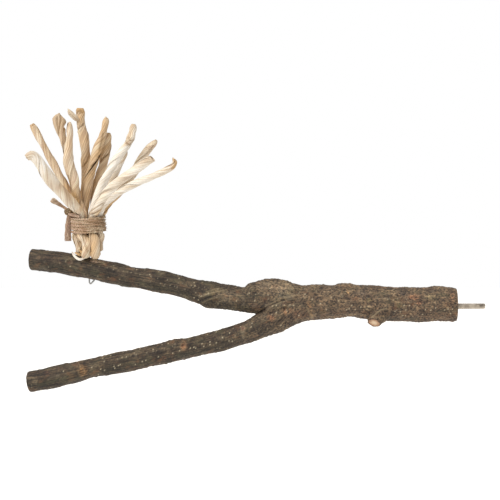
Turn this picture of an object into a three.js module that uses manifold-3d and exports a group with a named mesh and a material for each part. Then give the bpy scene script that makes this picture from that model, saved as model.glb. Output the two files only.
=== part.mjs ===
// Bird perch branch: a forked length of natural branch with its bark on, sawn off at its three ends.
// A hanger bolt in the thick end fixes it to the bars of a cage. Six folded strands of twisted corn
// husk stand up from the upper prong, bound with jute twine and pinned down by a wire through the wood.
//
// Millimetres. The origin is the middle of the sawn end, on the bolt's axis. +X runs out along the
// bolt and +Z is up. The prongs reach towards -X and lean back a little, towards +Y.

import * as THREE from 'three';
import { mergeVertices } from 'three/addons/utils/BufferGeometryUtils.js';
import Module from 'manifold-3d';

const wasm = await Module();
wasm.setup();

// Driving dimensions

const CLEARANCE = 0.3;
const BOLT_DIAMETER = 4.9;
const BOLT_EXPOSED = 23.5;
const BOLT_IN_WOOD = 26;
const WIRE_DIAMETER = 1;
const TWINE_DIAMETER = 2.3;
const TIE_TURNS = 5;
const TIE_RADIUS = 13.4;
const TIE_PITCH = 2.65;
const TIE_BASE = 20.5;
const STRAND_RADIUS_IN_TIE = 2.3;

// The way each strand folds back on itself: how far across, from the front leg at -1 to the back one at
// 1, and how deep below the fold's height, both as shares of half the distance between its legs.
const FOLD_HEIGHT = 14;
const FOLD_SHAPE = [[-0.85, 0.92], [0, 1], [0.85, 0.92]];

// The foot of the tuft: where the wire leaves the top of the upper prong, and how steeply the bark
// falls there towards +X.
const TUFT = new THREE.Vector3(-299, 10, 39.2);
const BARK_SLOPE = 0.19;

// The wood. Each station is [x, y, z, radius].

const TRUNK = [
  [0, 0, 1.2, 12.8], [-1.4, 0, 1.2, 13.6], [-13, 0, 1.6, 14.1], [-26, 0, 1.2, 13.7], [-45, 0, 1.5, 14],
  [-59, 0, 2.2, 13.9], [-71, 0, 3.4, 13.5], [-84, 0, 4.2, 12.9], [-97, 0, 3.8, 13.4], [-116, 0, 3, 13.8],
  [-130, 0, 3, 14], [-144, 0, 2, 12.5], [-154, 0, 0, 9],
];
const UPPER_PRONG = [
  [-128, 0, 3, 12], [-142, 0, 4, 11.6], [-156, 0, 5, 11], [-175, 1, 5.5, 10.2], [-188, 2, 7.5, 10],
  [-199, 3, 9.5, 10.3], [-206, 3.5, 11.2, 9.5], [-220, 5, 15, 8.9], [-234, 6, 18.5, 8.6], [-247, 7, 21, 9],
  [-260, 8, 23.2, 8.5], [-273, 9, 25.7, 9], [-288, 9.6, 28.7, 8.7], [-310, 11, 32.8, 8.6],
  [-326, 12, 35.8, 8.7], [-345, 14, 37.5, 9], [-346.6, 14, 37.6, 8.2],
];
const LOWER_PRONG = [
  [-114, -2, 1.3, 10.7], [-130, -2, -2.9, 11.3], [-143, -4, -9.3, 10.7], [-156, -4, -14.8, 9.8],
  [-169, -3, -20.5, 9], [-188, -1, -27, 8.7], [-201, 0, -30.2, 8.3], [-214, 1, -33.2, 8.4],
  [-227, 2, -36, 8.8], [-246, 3.5, -40.3, 8.5], [-266, 5, -44.8, 8.6], [-292, 6, -49.8, 7.9],
  [-306, 6.5, -53.2, 8.4], [-326, 7.3, -58.1, 8.6], [-345.6, 8.2, -62, 8.8], [-347, 8.3, -62.2, 8],
];

// Raised places on each limb: [x, angle, rise, length, width]. Angle 0 is the top of the limb, 90 its
// back, 180 its underside and -90 its front.
const TRUNK_LUMPS = [
  [-12, 0, 0.7, 9, 60], [-90, 5, 1.7, 6, 35], [-38, -70, 0.6, 12, 40], [-102, -60, 0.8, 7, 30],
  [-73, 120, 1, 12, 40], [-28, 160, 0.7, 8, 40], [-110, 175, 0.9, 6, 40], [-116, -30, 1, 7, 30],
];
const UPPER_LUMPS = [
  [-200, 180, 1.3, 5, 50], [-196, -80, 0.9, 5, 35], [-265, 180, 0.8, 5, 45], [-238, 70, 0.8, 6, 40],
  [-183, 20, 0.7, 7, 40], [-316, -60, 0.7, 5, 35],
];
const LOWER_LUMPS = [
  [-224, -60, 0.8, 6, 40], [-304, -100, 0.9, 4, 35], [-260, 100, 0.8, 7, 40], [-176, -120, 0.8, 7, 40],
  [-328, 10, 0.7, 5, 45],
];

// The burl on top of the fork and the swellings around it: [centre, half sizes, tilt in degrees].
const BURLS = [
  [[-149, 0, 12.5], [21, 10, 10.5], 4],
  [[-164, -1, 12], [8, 8, 7.5], -8],
  [[-135, -3, 12], [14, 9, 7.6], -3],
  [[-144, -8, -3], [11, 6, 8], 30],
  [[-147, 5, -8], [12, 8, 9], 20],
];

// A cut-off side twig low on the front of the trunk, and the fold of bark above the crotch of the fork.
const TWIG_STUB = [[-56, -3, -1, 6], [-61, -8, -6, 6.6], [-65.5, -12.5, -10.5, 4.8], [-68, -15, -13, 3.9]];
const BARK_FOLD = [
  [-157, -9, -6, 1.4], [-150, -11.5, -3, 1.9], [-140, -13.4, 2, 1.9], [-132, -13.6, 7, 1.6],
  [-127, -12, 9, 1],
];

// The prongs part just beyond the crotch: a point on each cut and the way its prong runs there.
const CROTCH_HEIGHT = -8;
const UPPER_CUT = [[-169, 1, 5.3], [-19, 1, 1.2]];
const LOWER_CUT = [[-171, -3, -21], [-19, 2, -7]];

// The tuft, from its foot. Each fold has its two legs side by side in the tie, one in front and one
// behind, and [x, y] gives their places, the front one at -y. `drop` is how far a fold hangs below the
// others, and `skew` how far its front leg lies towards +X of the middle and its back leg towards -X.
// Above the tie each leg has its own way.
const FOLDS = {
  outerLeft: { tie: [-4.2, 8.4], bulb: [-4.2, 9.8], radius: 3.1, drop: 0, skew: 2 },
  outerRight: { tie: [4.2, 8.4], bulb: [5, 9.8], radius: 3.6, drop: -0.3, skew: 1 },
  innerLeft: { tie: [-3.05, 3.35], bulb: [-3.4, 3.7], radius: 2.3, drop: 0, skew: 0 },
  innerRight: { tie: [3.05, 3.35], bulb: [3.4, 3.7], radius: 2.3, drop: 0, skew: 0 },
  sideLeft: { tie: [-8.5, 3.35], bulb: [-9.4, 3.7], radius: 3, drop: 2.6, skew: 0 },
  sideRight: { tie: [8.5, 3.35], bulb: [9.9, 3.7], radius: 2.8, drop: 0, skew: 0 },
};
const STRANDS = [
  {
    fold: FOLDS.outerLeft,
    front: [[-7.5, -12, 39.5, 3.6], [-14.5, -17, 47, 4.6], [-28, -26, 63.5, 4.9], [-37, -31, 77.8, 4.3],
      [-41, -33, 81.5, 3.9], [-44.5, -34, 79.6, 3.3]],
    back: [[-4.9, 10.7, 43, 3.4], [-4, 12.8, 56, 3.8], [-3.4, 15, 77, 4.1], [-6, 16.5, 98, 4.2],
      [-9.2, 17, 123.5, 4.3]],
  },
  {
    fold: FOLDS.outerRight,
    front: [[7.5, -11.5, 38.5, 3.3], [13, -15, 47, 3.7], [20, -19, 55.5, 3.8], [34, -25, 66.2, 3.7],
      [48, -29, 75.2, 3.5], [54.3, -31, 79, 3.3]],
    back: [[4.2, 10.7, 43, 3.5], [5.4, 12.6, 56, 4], [8.2, 14, 69, 4.1], [12.4, 15, 89, 4.3],
      [14.3, 15, 102.5, 3.9]],
  },
  {
    fold: FOLDS.innerLeft,
    front: [[-4.4, -2, 42, 2], [-7.4, 1, 48, 2.1], [-8.9, 3.6, 54, 2.2], [-11.4, 3.2, 63.5, 2.3],
      [-16, 2.4, 76.5, 2.3], [-18.4, 0.4, 89, 2.5], [-20.4, -2, 98, 3.1], [-22.4, -2.6, 106, 4.2],
      [-23.4, -3, 114, 5]],
    back: [[-2.8, 3.9, 42, 2.7], [-1.5, 4.2, 52, 3.4], [0, 4.5, 62, 4.2], [7, 6, 87, 4],
      [12, 7.5, 105, 3.4], [14.5, 8, 115, 3]],
  },
  {
    fold: FOLDS.innerRight,
    front: [[4.6, -5, 41, 3], [7.2, -6, 48, 3.4], [11.5, -7, 58, 3.7], [22.8, -9, 78, 3.7],
      [34, -9, 95, 3.6], [36, -9, 101, 2.9], [38, -9, 107.5, 2.7]],
    back: [[7.8, 4, 42, 3], [12.8, 4.5, 51.5, 3.5], [18, 4, 62, 3.6], [26.4, 3, 80, 3.4],
      [30, 3, 88, 3]],
  },
  {
    fold: FOLDS.sideLeft,
    front: [[-9.8, -4.2, 42, 2.6], [-10, -4.5, 50, 3.4], [-11.1, -5.1, 63.3, 4.3], [-13.7, -5.6, 71.5, 4.5],
      [-15.5, -6.2, 80, 4.5], [-15.4, -6.6, 88, 3.7], [-14.5, -7, 98, 2.8], [-14, -7, 109.5, 2.5]],
    back: [[-11.7, 4.6, 42, 2.9], [-15.3, 5.5, 51, 3.3], [-26.4, 5, 72, 3.3], [-39, 3, 95, 3.1],
      [-46, 2, 108.5, 2.9]],
  },
  {
    fold: FOLDS.sideRight,
    front: [[10.2, -3.9, 38.5, 2.7], [13.6, -4.2, 44, 2.9], [20.6, -4.4, 50.2, 3.1], [39, -5, 60.3, 3.1],
      [58, -5.8, 68.5, 3], [69, -6.2, 74, 2.8], [71.3, -6.5, 78, 2.5], [69.8, -6.7, 80.8, 1.5]],
    back: [[11.3, 4.2, 37.5, 2.5], [14.2, 5.5, 42, 2.7], [22.5, 6, 51, 3], [35.4, 5, 68, 3.5],
      [45.6, 4, 84.5, 3.9], [55, 3, 95.8, 2.6]],
  },
];

// The knot of the tie at the bundle's left, with one end up and out and one hanging.
const KNOT = [[-15.8, -1.2, 36.6], [-16.4, -2.2, 38.8], [-14.8, -0.6, 34.5]];
const KNOT_RADIUS = 2.2;
const TAIL_UP = [
  [-15.6, -1.6, 37.8, 1.4], [-19.2, -2.4, 41, 1.5], [-24.4, -3.4, 44.8, 1.9], [-30, -4, 48.3, 2.3],
];
const TAIL_DOWN = [
  [-15.4, -2, 36.5, 1.5], [-16.2, -3.2, 31.5, 1.9], [-16.6, -3.8, 25, 2.2], [-16.5, -4, 19, 2.5],
  [-16.4, -4.2, 13.7, 2.7],
];

// The wire from the tuft's foot: one end passes through the left folds and one through the right ones.
// Both go down through the wood, and the loop between them shows below the bark.
const WIRE_ROUTE = [
  [-13.6, 0.2, FOLD_HEIGHT + 2], [-9, 0.1, FOLD_HEIGHT + 1.6], [-4, -0.2, FOLD_HEIGHT + 0.6],
  [-1.4, -0.5, FOLD_HEIGHT - 0.3], [-0.3, -0.7, FOLD_HEIGHT - 2.2], [-0.1, -0.7, 6], [-0.2, -0.7, -8],
  [0.3, -0.7, -18], [0.3, -0.8, -21], [1.5, -0.8, -22.6], [3.3, -0.4, -21.2], [4.8, 0.2, -18],
  [2.8, 0.7, -8], [0.4, 0.7, 2], [0.1, 0.7, 8], [0.3, 0.7, FOLD_HEIGHT - 3], [1.4, 0.5, FOLD_HEIGHT - 1.2],
  [4, 0.2, FOLD_HEIGHT - 0.8], [9, 0, FOLD_HEIGHT - 1.6], [13.4, 0, FOLD_HEIGHT - 2.2],
];

// A shred of husk that has curled down over the front of the bark, from the tuft's foot: [x, y, z].
const SHRED_ROUTE = [
  [-15.5, -0.5, 4.6], [-12, -4.2, 2.9], [-8.6, -6.7, 0.2], [-5.5, -7.2, -1.4], [-3, -6, -0.2],
  [-0.4, -4.6, 0.6],
];
const SHRED_RADIUS = 0.6;

// Materials

const bark = new THREE.MeshStandardMaterial({ color: 0x5d5247, roughness: 0.9, metalness: 0 });
const zincPlated = new THREE.MeshStandardMaterial({ color: 0x938a7e, roughness: 0.35, metalness: 1 });
const cornHusk = new THREE.MeshStandardMaterial({ color: 0xdcc6a0, roughness: 0.75, metalness: 0 });
const juteTwine = new THREE.MeshStandardMaterial({ color: 0xa5865f, roughness: 0.95, metalness: 0 });
const ironWire = new THREE.MeshStandardMaterial({ color: 0x8c8c8c, roughness: 0.45, metalness: 1 });

// Solids

// Joins the vertices that share a place and drops the triangles that close up at a lathe's poles.
function weld(geometry) {
  geometry.deleteAttribute('normal');
  geometry.deleteAttribute('uv');
  const welded = mergeVertices(geometry);
  const corners = welded.index.array;
  const kept = [];
  for (let i = 0; i < corners.length; i += 3) {
    const [a, b, c] = corners.slice(i, i + 3);
    if (a !== b && b !== c && c !== a) kept.push(a, b, c);
  }
  welded.setIndex(kept);
  return welded;
}

function solidOf(geometry) {
  return new wasm.Manifold(new wasm.Mesh({
    numProp: 3,
    vertProperties: new Float32Array(geometry.attributes.position.array),
    triVerts: new Uint32Array(geometry.index.array),
  }));
}

function geometryOf(solid) {
  const { vertProperties, triVerts } = solid.getMesh();
  const geometry = new THREE.BufferGeometry();
  geometry.setAttribute('position', new THREE.BufferAttribute(vertProperties, 3));
  geometry.setIndex(new THREE.BufferAttribute(triVerts, 1));
  geometry.computeVertexNormals();
  return geometry;
}

function joined(solids) {
  return solids.reduce((whole, solid) => whole.add(solid));
}

// A round body along a smooth route of stations [x, y, z, radius]: a lathe whose axis is bent on to the
// route. Its angle 0 faces `facing`, and relief(place, angle, radius, t) is added to its radius.
function bentLathe(stations, { facing, sides, stepsPerSpan, relief = () => 0 }) {
  const route = new THREE.CatmullRomCurve3(stations.map(([x, y, z]) => new THREE.Vector3(x, y, z)));
  const spans = stations.length - 1;
  const steps = spans * stepsPerSpan;
  const profile = [new THREE.Vector2(0, 0)];
  for (let step = 0; step <= steps; step++) profile.push(new THREE.Vector2(1, step));
  profile.push(new THREE.Vector2(0, steps));
  const geometry = new THREE.LatheGeometry(profile, sides);
  const position = geometry.attributes.position;
  for (let vertex = 0; vertex < position.count; vertex++) {
    const across = new THREE.Vector2(position.getX(vertex), position.getZ(vertex));
    const t = position.getY(vertex) / steps;
    const place = route.getPoint(t);
    const along = route.getTangent(t);
    const front = facing.clone().addScaledVector(along, -facing.dot(along)).normalize();
    const side = along.clone().cross(front);
    const before = Math.min(Math.floor(t * spans), spans - 1);
    const share = THREE.MathUtils.smoothstep(t * spans - before, 0, 1);
    const radius = THREE.MathUtils.lerp(stations[before][3], stations[before + 1][3], share);
    const angle = THREE.MathUtils.radToDeg(Math.atan2(across.x, across.y));
    const size = radius + relief(place, angle, radius, t);
    place.addScaledVector(side, across.x * size).addScaledVector(front, across.y * size);
    position.setXYZ(vertex, place.x, place.y, place.z);
  }
  return weld(geometry);
}

// The same body with one radius all along, for wire and twine.
function rod(points, radius, { facing, sides, stepsPerSpan }) {
  return bentLathe(points.map(([x, y, z]) => [x, y, z, radius]), { facing, sides, stepsPerSpan });
}

const UP = new THREE.Vector3(0, 0, 1);
const FRONT = new THREE.Vector3(0, -1, 0);
const RIGHT = new THREE.Vector3(1, 0, 0);

// The branch

// How far the bark stands out at one place: its lumps, and the slow unevenness of a grown limb.
function barkRelief(lumps) {
  return (place, angle) => {
    const slow = 0.25 * Math.sin(place.x / 6.5 + angle / 28);
    const quick = 0.2 * Math.sin(place.x / 3.7 - angle / 19);
    let rise = slow + quick;
    for (const [x, around, height, length, width] of lumps) {
      const turn = THREE.MathUtils.euclideanModulo(angle - around + 180, 360) - 180;
      rise += height * Math.exp(-(((place.x - x) / length) ** 2) - (turn / width) ** 2);
    }
    return rise;
  };
}

function limb(stations, lumps, sides) {
  return solidOf(bentLathe(stations, { facing: UP, sides, stepsPerSpan: 3, relief: barkRelief(lumps) }));
}

function burl([centre, halfSizes, tilt]) {
  const ball = new THREE.SphereGeometry(1, 12, 7);
  ball.scale(...halfSizes);
  ball.rotateY(THREE.MathUtils.degToRad(tilt));
  ball.translate(...centre);
  return solidOf(weld(ball));
}

// All that lies beyond a flat cut through `point`, on the side that `direction` points to.
function beyond(point, direction, shift = 0) {
  const reach = 1000;
  const normal = new THREE.Vector3(...direction).normalize();
  const block = new THREE.BoxGeometry(reach, reach, reach);
  block.translate(0, 0, reach / 2 + shift);
  block.applyQuaternion(new THREE.Quaternion().setFromUnitVectors(UP, normal));
  block.translate(...point);
  return solidOf(weld(block));
}

function wireBore() {
  const inWood = WIRE_ROUTE.filter(([, , z]) => z < FOLD_HEIGHT - 1);
  const route = inWood.map(([x, y, z]) => [x + TUFT.x, y + TUFT.y, z + TUFT.z]);
  return solidOf(rod(route, WIRE_DIAMETER / 2 + CLEARANCE, { facing: FRONT, sides: 8, stepsPerSpan: 2 }));
}

function boltBore() {
  const bore = new THREE.CylinderGeometry(BOLT_DIAMETER / 2 + CLEARANCE, BOLT_DIAMETER / 2 + CLEARANCE,
    2 * BOLT_IN_WOOD + 2 * CLEARANCE, 16);
  bore.rotateZ(Math.PI / 2);
  return solidOf(weld(bore));
}

function branchWood() {
  return joined([
    limb(TRUNK, TRUNK_LUMPS, 18),
    limb(UPPER_PRONG, UPPER_LUMPS, 12),
    limb(LOWER_PRONG, LOWER_LUMPS, 12),
    solidOf(bentLathe(TWIG_STUB, { facing: FRONT, sides: 10, stepsPerSpan: 2 })),
    solidOf(bentLathe(BARK_FOLD, { facing: FRONT, sides: 6, stepsPerSpan: 2 })),
    ...BURLS.map(burl),
  ]);
}

function branchParts() {
  const wood = branchWood();
  const aboveCrotch = beyond([0, 0, CROTCH_HEIGHT], [0, 0, 1]);
  const upperSide = beyond(...UPPER_CUT).intersect(aboveCrotch);
  const lowerSide = beyond(...LOWER_CUT).subtract(aboveCrotch);
  const upperGap = beyond(...UPPER_CUT, -CLEARANCE).intersect(aboveCrotch);
  const lowerGap = beyond(...LOWER_CUT, -CLEARANCE).subtract(aboveCrotch);
  return {
    trunk: wood.subtract(upperGap).subtract(lowerGap).subtract(boltBore()),
    upper_prong: wood.intersect(upperSide).subtract(wireBore()),
    lower_prong: wood.intersect(lowerSide),
  };
}

// The bolt: the bare end of a hanger bolt, with a chamfered tip and a point in the wood.
function hangerBolt() {
  const radius = BOLT_DIAMETER / 2;
  const chamfer = 0.7;
  const pointLength = 6;
  const pointRadius = 0.8;
  const outline = [
    [0, -BOLT_IN_WOOD], [pointRadius, -BOLT_IN_WOOD], [radius, -BOLT_IN_WOOD + pointLength],
    [radius, BOLT_EXPOSED - chamfer], [radius - chamfer, BOLT_EXPOSED], [0, BOLT_EXPOSED],
  ];
  const bolt = new THREE.LatheGeometry(outline.map(([r, y]) => new THREE.Vector2(r, y)), 16);
  bolt.rotateZ(-Math.PI / 2);
  return weld(bolt);
}

// The tuft

// One leg of a folded strand, from the fold up to its tip. `side` is -1 in front and 1 behind.
function leg(fold, foldHeight, side, above) {
  const tieTop = TIE_BASE + TIE_TURNS * TIE_PITCH;
  const beyondTie = 0.5;
  const [tieX, tieY] = fold.tie;
  const [bulbX, bulbY] = fold.bulb;
  return [
    [bulbX - side * fold.skew, side * bulbY, foldHeight + 1, fold.radius],
    [tieX, side * tieY, TIE_BASE - beyondTie, STRAND_RADIUS_IN_TIE],
    [tieX, side * tieY, tieTop + beyondTie, STRAND_RADIUS_IN_TIE],
    ...above,
  ];
}

function huskStrand({ fold, front, back }) {
  const [x, y] = fold.bulb;
  const height = FOLD_HEIGHT - BARK_SLOPE * x - fold.drop;
  const bend = FOLD_SHAPE.map(([across, deep]) => (
    [x - fold.skew * across, y * across, height - y * deep, fold.radius]
  ));
  const stations = [...leg(fold, height, -1, front).reverse(), ...bend, ...leg(fold, height, 1, back)];
  const ovality = 0.07;
  const twists = 3;
  const oval = (place, angle, radius, t) => (
    ovality * radius * Math.cos(THREE.MathUtils.degToRad(2 * angle) + 2 * Math.PI * twists * t)
  );
  return bentLathe(stations, { facing: RIGHT, sides: 7, stepsPerSpan: 2, relief: oval });
}

function juteTie() {
  const radius = TWINE_DIAMETER / 2;
  const stepsPerTurn = 14;
  const winding = [];
  for (let step = 0; step <= TIE_TURNS * stepsPerTurn; step++) {
    const turn = step / stepsPerTurn;
    const angle = Math.PI + 2 * Math.PI * turn;
    winding.push([TIE_RADIUS * Math.cos(angle), TIE_RADIUS * Math.sin(angle), TIE_BASE + TIE_PITCH * turn]);
  }
  winding.push([-14.4, -1.2, 35], KNOT[0]);
  const knot = KNOT.map(([x, y, z]) => {
    const ball = new THREE.SphereGeometry(KNOT_RADIUS, 8, 6);
    ball.translate(x, y, z);
    return solidOf(weld(ball));
  });
  return geometryOf(joined([
    solidOf(rod(winding, radius, { facing: UP, sides: 6, stepsPerSpan: 1 })),
    ...knot,
    solidOf(bentLathe(TAIL_UP, { facing: FRONT, sides: 8, stepsPerSpan: 2 })),
    solidOf(bentLathe(TAIL_DOWN, { facing: FRONT, sides: 8, stepsPerSpan: 2 })),
  ]));
}

function tuft() {
  const group = new THREE.Group();
  STRANDS.forEach((strand, index) => {
    group.add(named(`husk_strand_${index + 1}`, huskStrand(strand), cornHusk));
  });
  group.add(named('jute_tie', juteTie(), juteTwine));
  const pin = rod(WIRE_ROUTE, WIRE_DIAMETER / 2, { facing: FRONT, sides: 5, stepsPerSpan: 2 });
  group.add(named('wire_pin', pin, ironWire));
  const shred = rod(SHRED_ROUTE, SHRED_RADIUS, { facing: UP, sides: 6, stepsPerSpan: 2 });
  group.add(named('husk_shred', shred, cornHusk));
  group.position.copy(TUFT);
  return group;
}

// The whole perch

function named(name, geometry, material) {
  const mesh = new THREE.Mesh(geometry, material);
  mesh.name = name;
  return mesh;
}

const perch = new THREE.Group();
for (const [name, solid] of Object.entries(branchParts())) {
  perch.add(named(name, geometryOf(solid), bark));
}
perch.add(named('hanger_bolt', hangerBolt(), zincPlated));
perch.add(tuft());

export default perch;
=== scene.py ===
# Bird perch branch: a forked length of natural branch with its bark on, a hanger bolt screwed into
# its sawn thick end, and a tuft of twisted corn husk tied with jute twine and wired to one prong.
import math

import bmesh
import bpy
import numpy as np
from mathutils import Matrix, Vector, noise


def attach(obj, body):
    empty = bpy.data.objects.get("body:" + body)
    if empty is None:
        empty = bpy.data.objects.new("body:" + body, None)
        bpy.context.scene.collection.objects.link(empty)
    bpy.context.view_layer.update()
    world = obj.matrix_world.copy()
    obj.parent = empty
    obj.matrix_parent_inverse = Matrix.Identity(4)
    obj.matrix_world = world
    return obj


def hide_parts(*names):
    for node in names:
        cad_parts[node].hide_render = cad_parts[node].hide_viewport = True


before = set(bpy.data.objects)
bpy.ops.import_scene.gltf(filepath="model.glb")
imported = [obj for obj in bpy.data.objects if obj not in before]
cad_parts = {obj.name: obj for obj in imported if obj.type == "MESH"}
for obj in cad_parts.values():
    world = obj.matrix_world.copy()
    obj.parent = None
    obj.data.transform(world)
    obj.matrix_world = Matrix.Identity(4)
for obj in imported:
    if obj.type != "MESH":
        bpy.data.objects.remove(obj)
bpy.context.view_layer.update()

# The camera
# A level view from the front with a long lens, square to the branch, so that both prongs run to the
# left and the bolt points to the right.

# Sizes are in millimetres, and Blender's own are in metres.
MM = 0.001
VIEW_CENTRE = np.array([-166.9, 45.5])
VIEW_WIDTH = 405
VIEW_DISTANCE = 1200
# The picture's pixels along a side, and the width of one at the perch.
PICTURE_SIZE = 500
PIXEL = VIEW_WIDTH / PICTURE_SIZE
SENSOR_WIDTH = 36

camera = bpy.data.objects.new("camera", bpy.data.cameras.new("camera"))
camera.data.sensor_width = SENSOR_WIDTH
camera.data.lens = SENSOR_WIDTH * VIEW_DISTANCE / VIEW_WIDTH
camera.data.clip_end = 50
camera.location = (VIEW_CENTRE[0] * MM, -VIEW_DISTANCE * MM, VIEW_CENTRE[1] * MM)
camera.rotation_euler = (math.radians(90), 0, 0)
bpy.context.scene.collection.objects.link(camera)
bpy.context.scene.camera = camera

# The studio
# A white room with a pale painted floor well below the perch, which hangs free in the middle of it.
# One broad lamp stands high at the left and in front, and the white walls fill the shadows.

FLOOR_HEIGHT = -300
FLOOR_REACH = 12000
FLOOR_WHITE = "#f4f3f1"
FLOOR_GLOW = 0.22
WALL_WHITE = "#ffffff"
WALL_LIGHT = 0.55
LAMP_LIGHT = 2.9
LAMP_COLOUR = "#fffaf3"
LAMP_WIDTH_DEGREES = 34
LAMP_DIRECTION = (0.55, 0.62, -1.0)


def linear(hex_colour):
    """An sRGB hex colour as the linear red, green, blue and alpha that a shader takes."""
    parts = [int(hex_colour[start:start + 2], 16) / 255 for start in (1, 3, 5)]
    return tuple(c / 12.92 if c <= 0.04045 else ((c + 0.055) / 1.055) ** 2.4 for c in parts) + (1.0,)


def set_inputs(node, inputs):
    """Gives a node's sockets their values, or links them to what feeds them."""
    for socket, value in dict(inputs).items():
        if isinstance(value, bpy.types.NodeSocket):
            node.id_data.links.new(value, node.inputs[socket])
        else:
            node.inputs[socket].default_value = value


def add_node(tree, kind, inputs=(), output=None, stops=(), **settings):
    """Adds a shader node and gives the output that is named, or else its first one in use. Settings are
    its properties, inputs its sockets' values or what feeds them, and stops the (place, colour) marks
    of a colour ramp."""
    made = tree.nodes.new("ShaderNode" + kind)
    for setting, value in settings.items():
        setattr(made, setting, value)
    if stops:
        made.color_ramp.elements.remove(made.color_ramp.elements[-1])
        for place, colour in stops:
            made.color_ramp.elements.new(place).color = linear(colour)
        made.color_ramp.elements.remove(made.color_ramp.elements[0])
    set_inputs(made, inputs)
    return made.outputs[output] if output else next(socket for socket in made.outputs if socket.enabled)


def new_material(name):
    """A new material, its node tree and the shader that gives its surface."""
    material = bpy.data.materials.new(name)
    material.use_nodes = True
    return material, material.node_tree, material.node_tree.nodes["Principled BSDF"]


# Matt white wall paint, all but shadowless.
painted_floor, tree, surface = new_material("painted_floor")
set_inputs(surface, {"Base Color": linear(FLOOR_WHITE), "Roughness": 0.9,
                     "Emission Color": linear(WALL_WHITE), "Emission Strength": FLOOR_GLOW})

floor_mesh = bpy.data.meshes.new("floor")
corners = [(side_x * FLOOR_REACH * MM, side_y * FLOOR_REACH * MM, FLOOR_HEIGHT * MM)
           for side_x, side_y in ((-1, -1), (1, -1), (1, 1), (-1, 1))]
floor_mesh.from_pydata(corners, [], [(0, 1, 2, 3)])
floor_mesh.materials.append(painted_floor)
floor = bpy.data.objects.new("floor", floor_mesh)
bpy.context.scene.collection.objects.link(floor)

# The walls light the perch less than the camera sees them.
world = bpy.data.worlds.new("white_room")
bpy.context.scene.world = world
world.use_nodes = True
tree = world.node_tree
seen = add_node(tree, "LightPath", output="Is Camera Ray")
strength = add_node(tree, "MapRange", {"Value": seen, "To Min": WALL_LIGHT, "To Max": 1.0})
set_inputs(tree.nodes["Background"], {"Color": linear(WALL_WHITE), "Strength": strength})

lamp = bpy.data.objects.new("lamp", bpy.data.lights.new("lamp", "SUN"))
lamp.data.energy = LAMP_LIGHT
lamp.data.angle = math.radians(LAMP_WIDTH_DEGREES)
lamp.data.color = linear(LAMP_COLOUR)[:3]
lamp.rotation_euler = Vector(LAMP_DIRECTION).to_track_quat("-Z", "Y").to_euler()
bpy.context.scene.collection.objects.link(lamp)
bpy.context.scene.view_settings.view_transform = "Standard"

# The branch
# One forked length of a shrub's branch, dried with its bark on and sawn off at the thick end and at
# both prongs. It has a burl on top of the fork, wrinkled bark above the crotch and a cut-off twig.

# Each station of a limb is [x, y, z, radius], and its points lie this far apart.
LIMB_STEP = 1.2
TRUNK = [
    [4, 0, 1.2, 12], [0, 0, 1.2, 12.8], [-1.4, 0, 1.2, 13.6], [-13, 0, 1.6, 14.1], [-26, 0, 1.2, 13.7],
    [-45, 0, 1.5, 14], [-59, 0, 2.2, 13.9], [-71, 0, 3.4, 13.5], [-84, 0, 4.2, 12.9],
    [-97, 0, 3.8, 13.4], [-116, 0, 3, 13.8], [-130, 0, 3, 14], [-144, 0, 2, 12.5], [-154, 0, 0, 9],
]
UPPER_PRONG = [
    [-128, 0, 3, 12], [-142, 0, 4, 11.6], [-156, 0, 5, 11], [-175, 1, 5.5, 10.2], [-188, 2, 7.5, 10],
    [-199, 3, 9.5, 10.3], [-206, 3.5, 11.2, 9.5], [-220, 5, 15, 8.9], [-234, 6, 18.5, 8.6],
    [-247, 7, 21, 9], [-260, 8, 23.2, 8.5], [-273, 9, 25.7, 9], [-288, 9.6, 28.7, 8.7],
    [-310, 11, 32.8, 8.6], [-326, 12, 35.8, 8.7], [-345, 14, 37.5, 9], [-346.6, 14, 37.6, 8.6],
    [-351, 14, 37.8, 7.4],
]
LOWER_PRONG = [
    [-114, -2, 1.3, 10.7], [-130, -2, -2.9, 11.3], [-143, -4, -9.3, 10.7], [-156, -4, -14.8, 9.8],
    [-169, -3, -20.5, 9], [-188, -1, -27, 8.7], [-201, 0, -30.2, 8.3], [-214, 1, -33.2, 8.4],
    [-227, 2, -36, 8.8], [-246, 3.5, -40.3, 8.5], [-266, 5, -44.8, 8.6], [-292, 6, -49.8, 7.9],
    [-306, 6.5, -53.2, 8.4], [-326, 7.3, -58.1, 8.6], [-345.6, 8.2, -62, 8.8], [-347, 8.3, -62.2, 8.2],
    [-351, 8.5, -63, 7],
]
# Raised places are [x, angle, rise, length, width]; angle 0 is a limb's top and 90 its back.
TRUNK_LUMPS = [
    [-13, 0, 0.8, 9, 60], [-90, 5, 1.7, 6, 35], [-38, -70, 0.6, 12, 40], [-102, -60, 0.8, 7, 30],
    [-73, 120, 1, 12, 40], [-28, 160, 0.1, 8, 40], [-110, 175, 0.2, 6, 40], [-116, -30, 1, 7, 30],
]
UPPER_LUMPS = [
    [-200, 180, 1.3, 5, 50], [-196, -80, 0.9, 5, 35], [-265, 180, 0.8, 5, 45], [-238, 70, 0.8, 6, 40],
    [-183, 20, 0.7, 7, 40], [-316, -60, 0.7, 5, 35], [-268, 0, -1.1, 7, 50], [-237, -5, 0.7, 4, 40],
]
LOWER_LUMPS = [
    [-224, -60, 0.8, 6, 40], [-304, -100, 0.9, 4, 35], [-260, 100, 0.8, 7, 40], [-176, -120, 0.8, 7, 40],
    [-328, 10, 0.7, 5, 45],
]
# Swellings of the fork: centre, half sizes, tilt in degrees.
BURLS = [
    [(-147.5, 0, 12.2), (20, 10, 10.2), 1], [(-164, -1, 12), (8, 8, 7.5), -8],
    [(-135, -3, 11.2), (14, 9, 7.3), -3], [(-144, -8, -3), (11, 6, 8), 30],
    [(-147, 5, -8), (12, 8, 9), 20],
]
TWIG_STUB = [[-55, -3, -1, 6], [-61, -8, -5.8, 6.8], [-65.6, -12, -10, 5.8], [-69.6, -15.5, -15, 5]]
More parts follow.
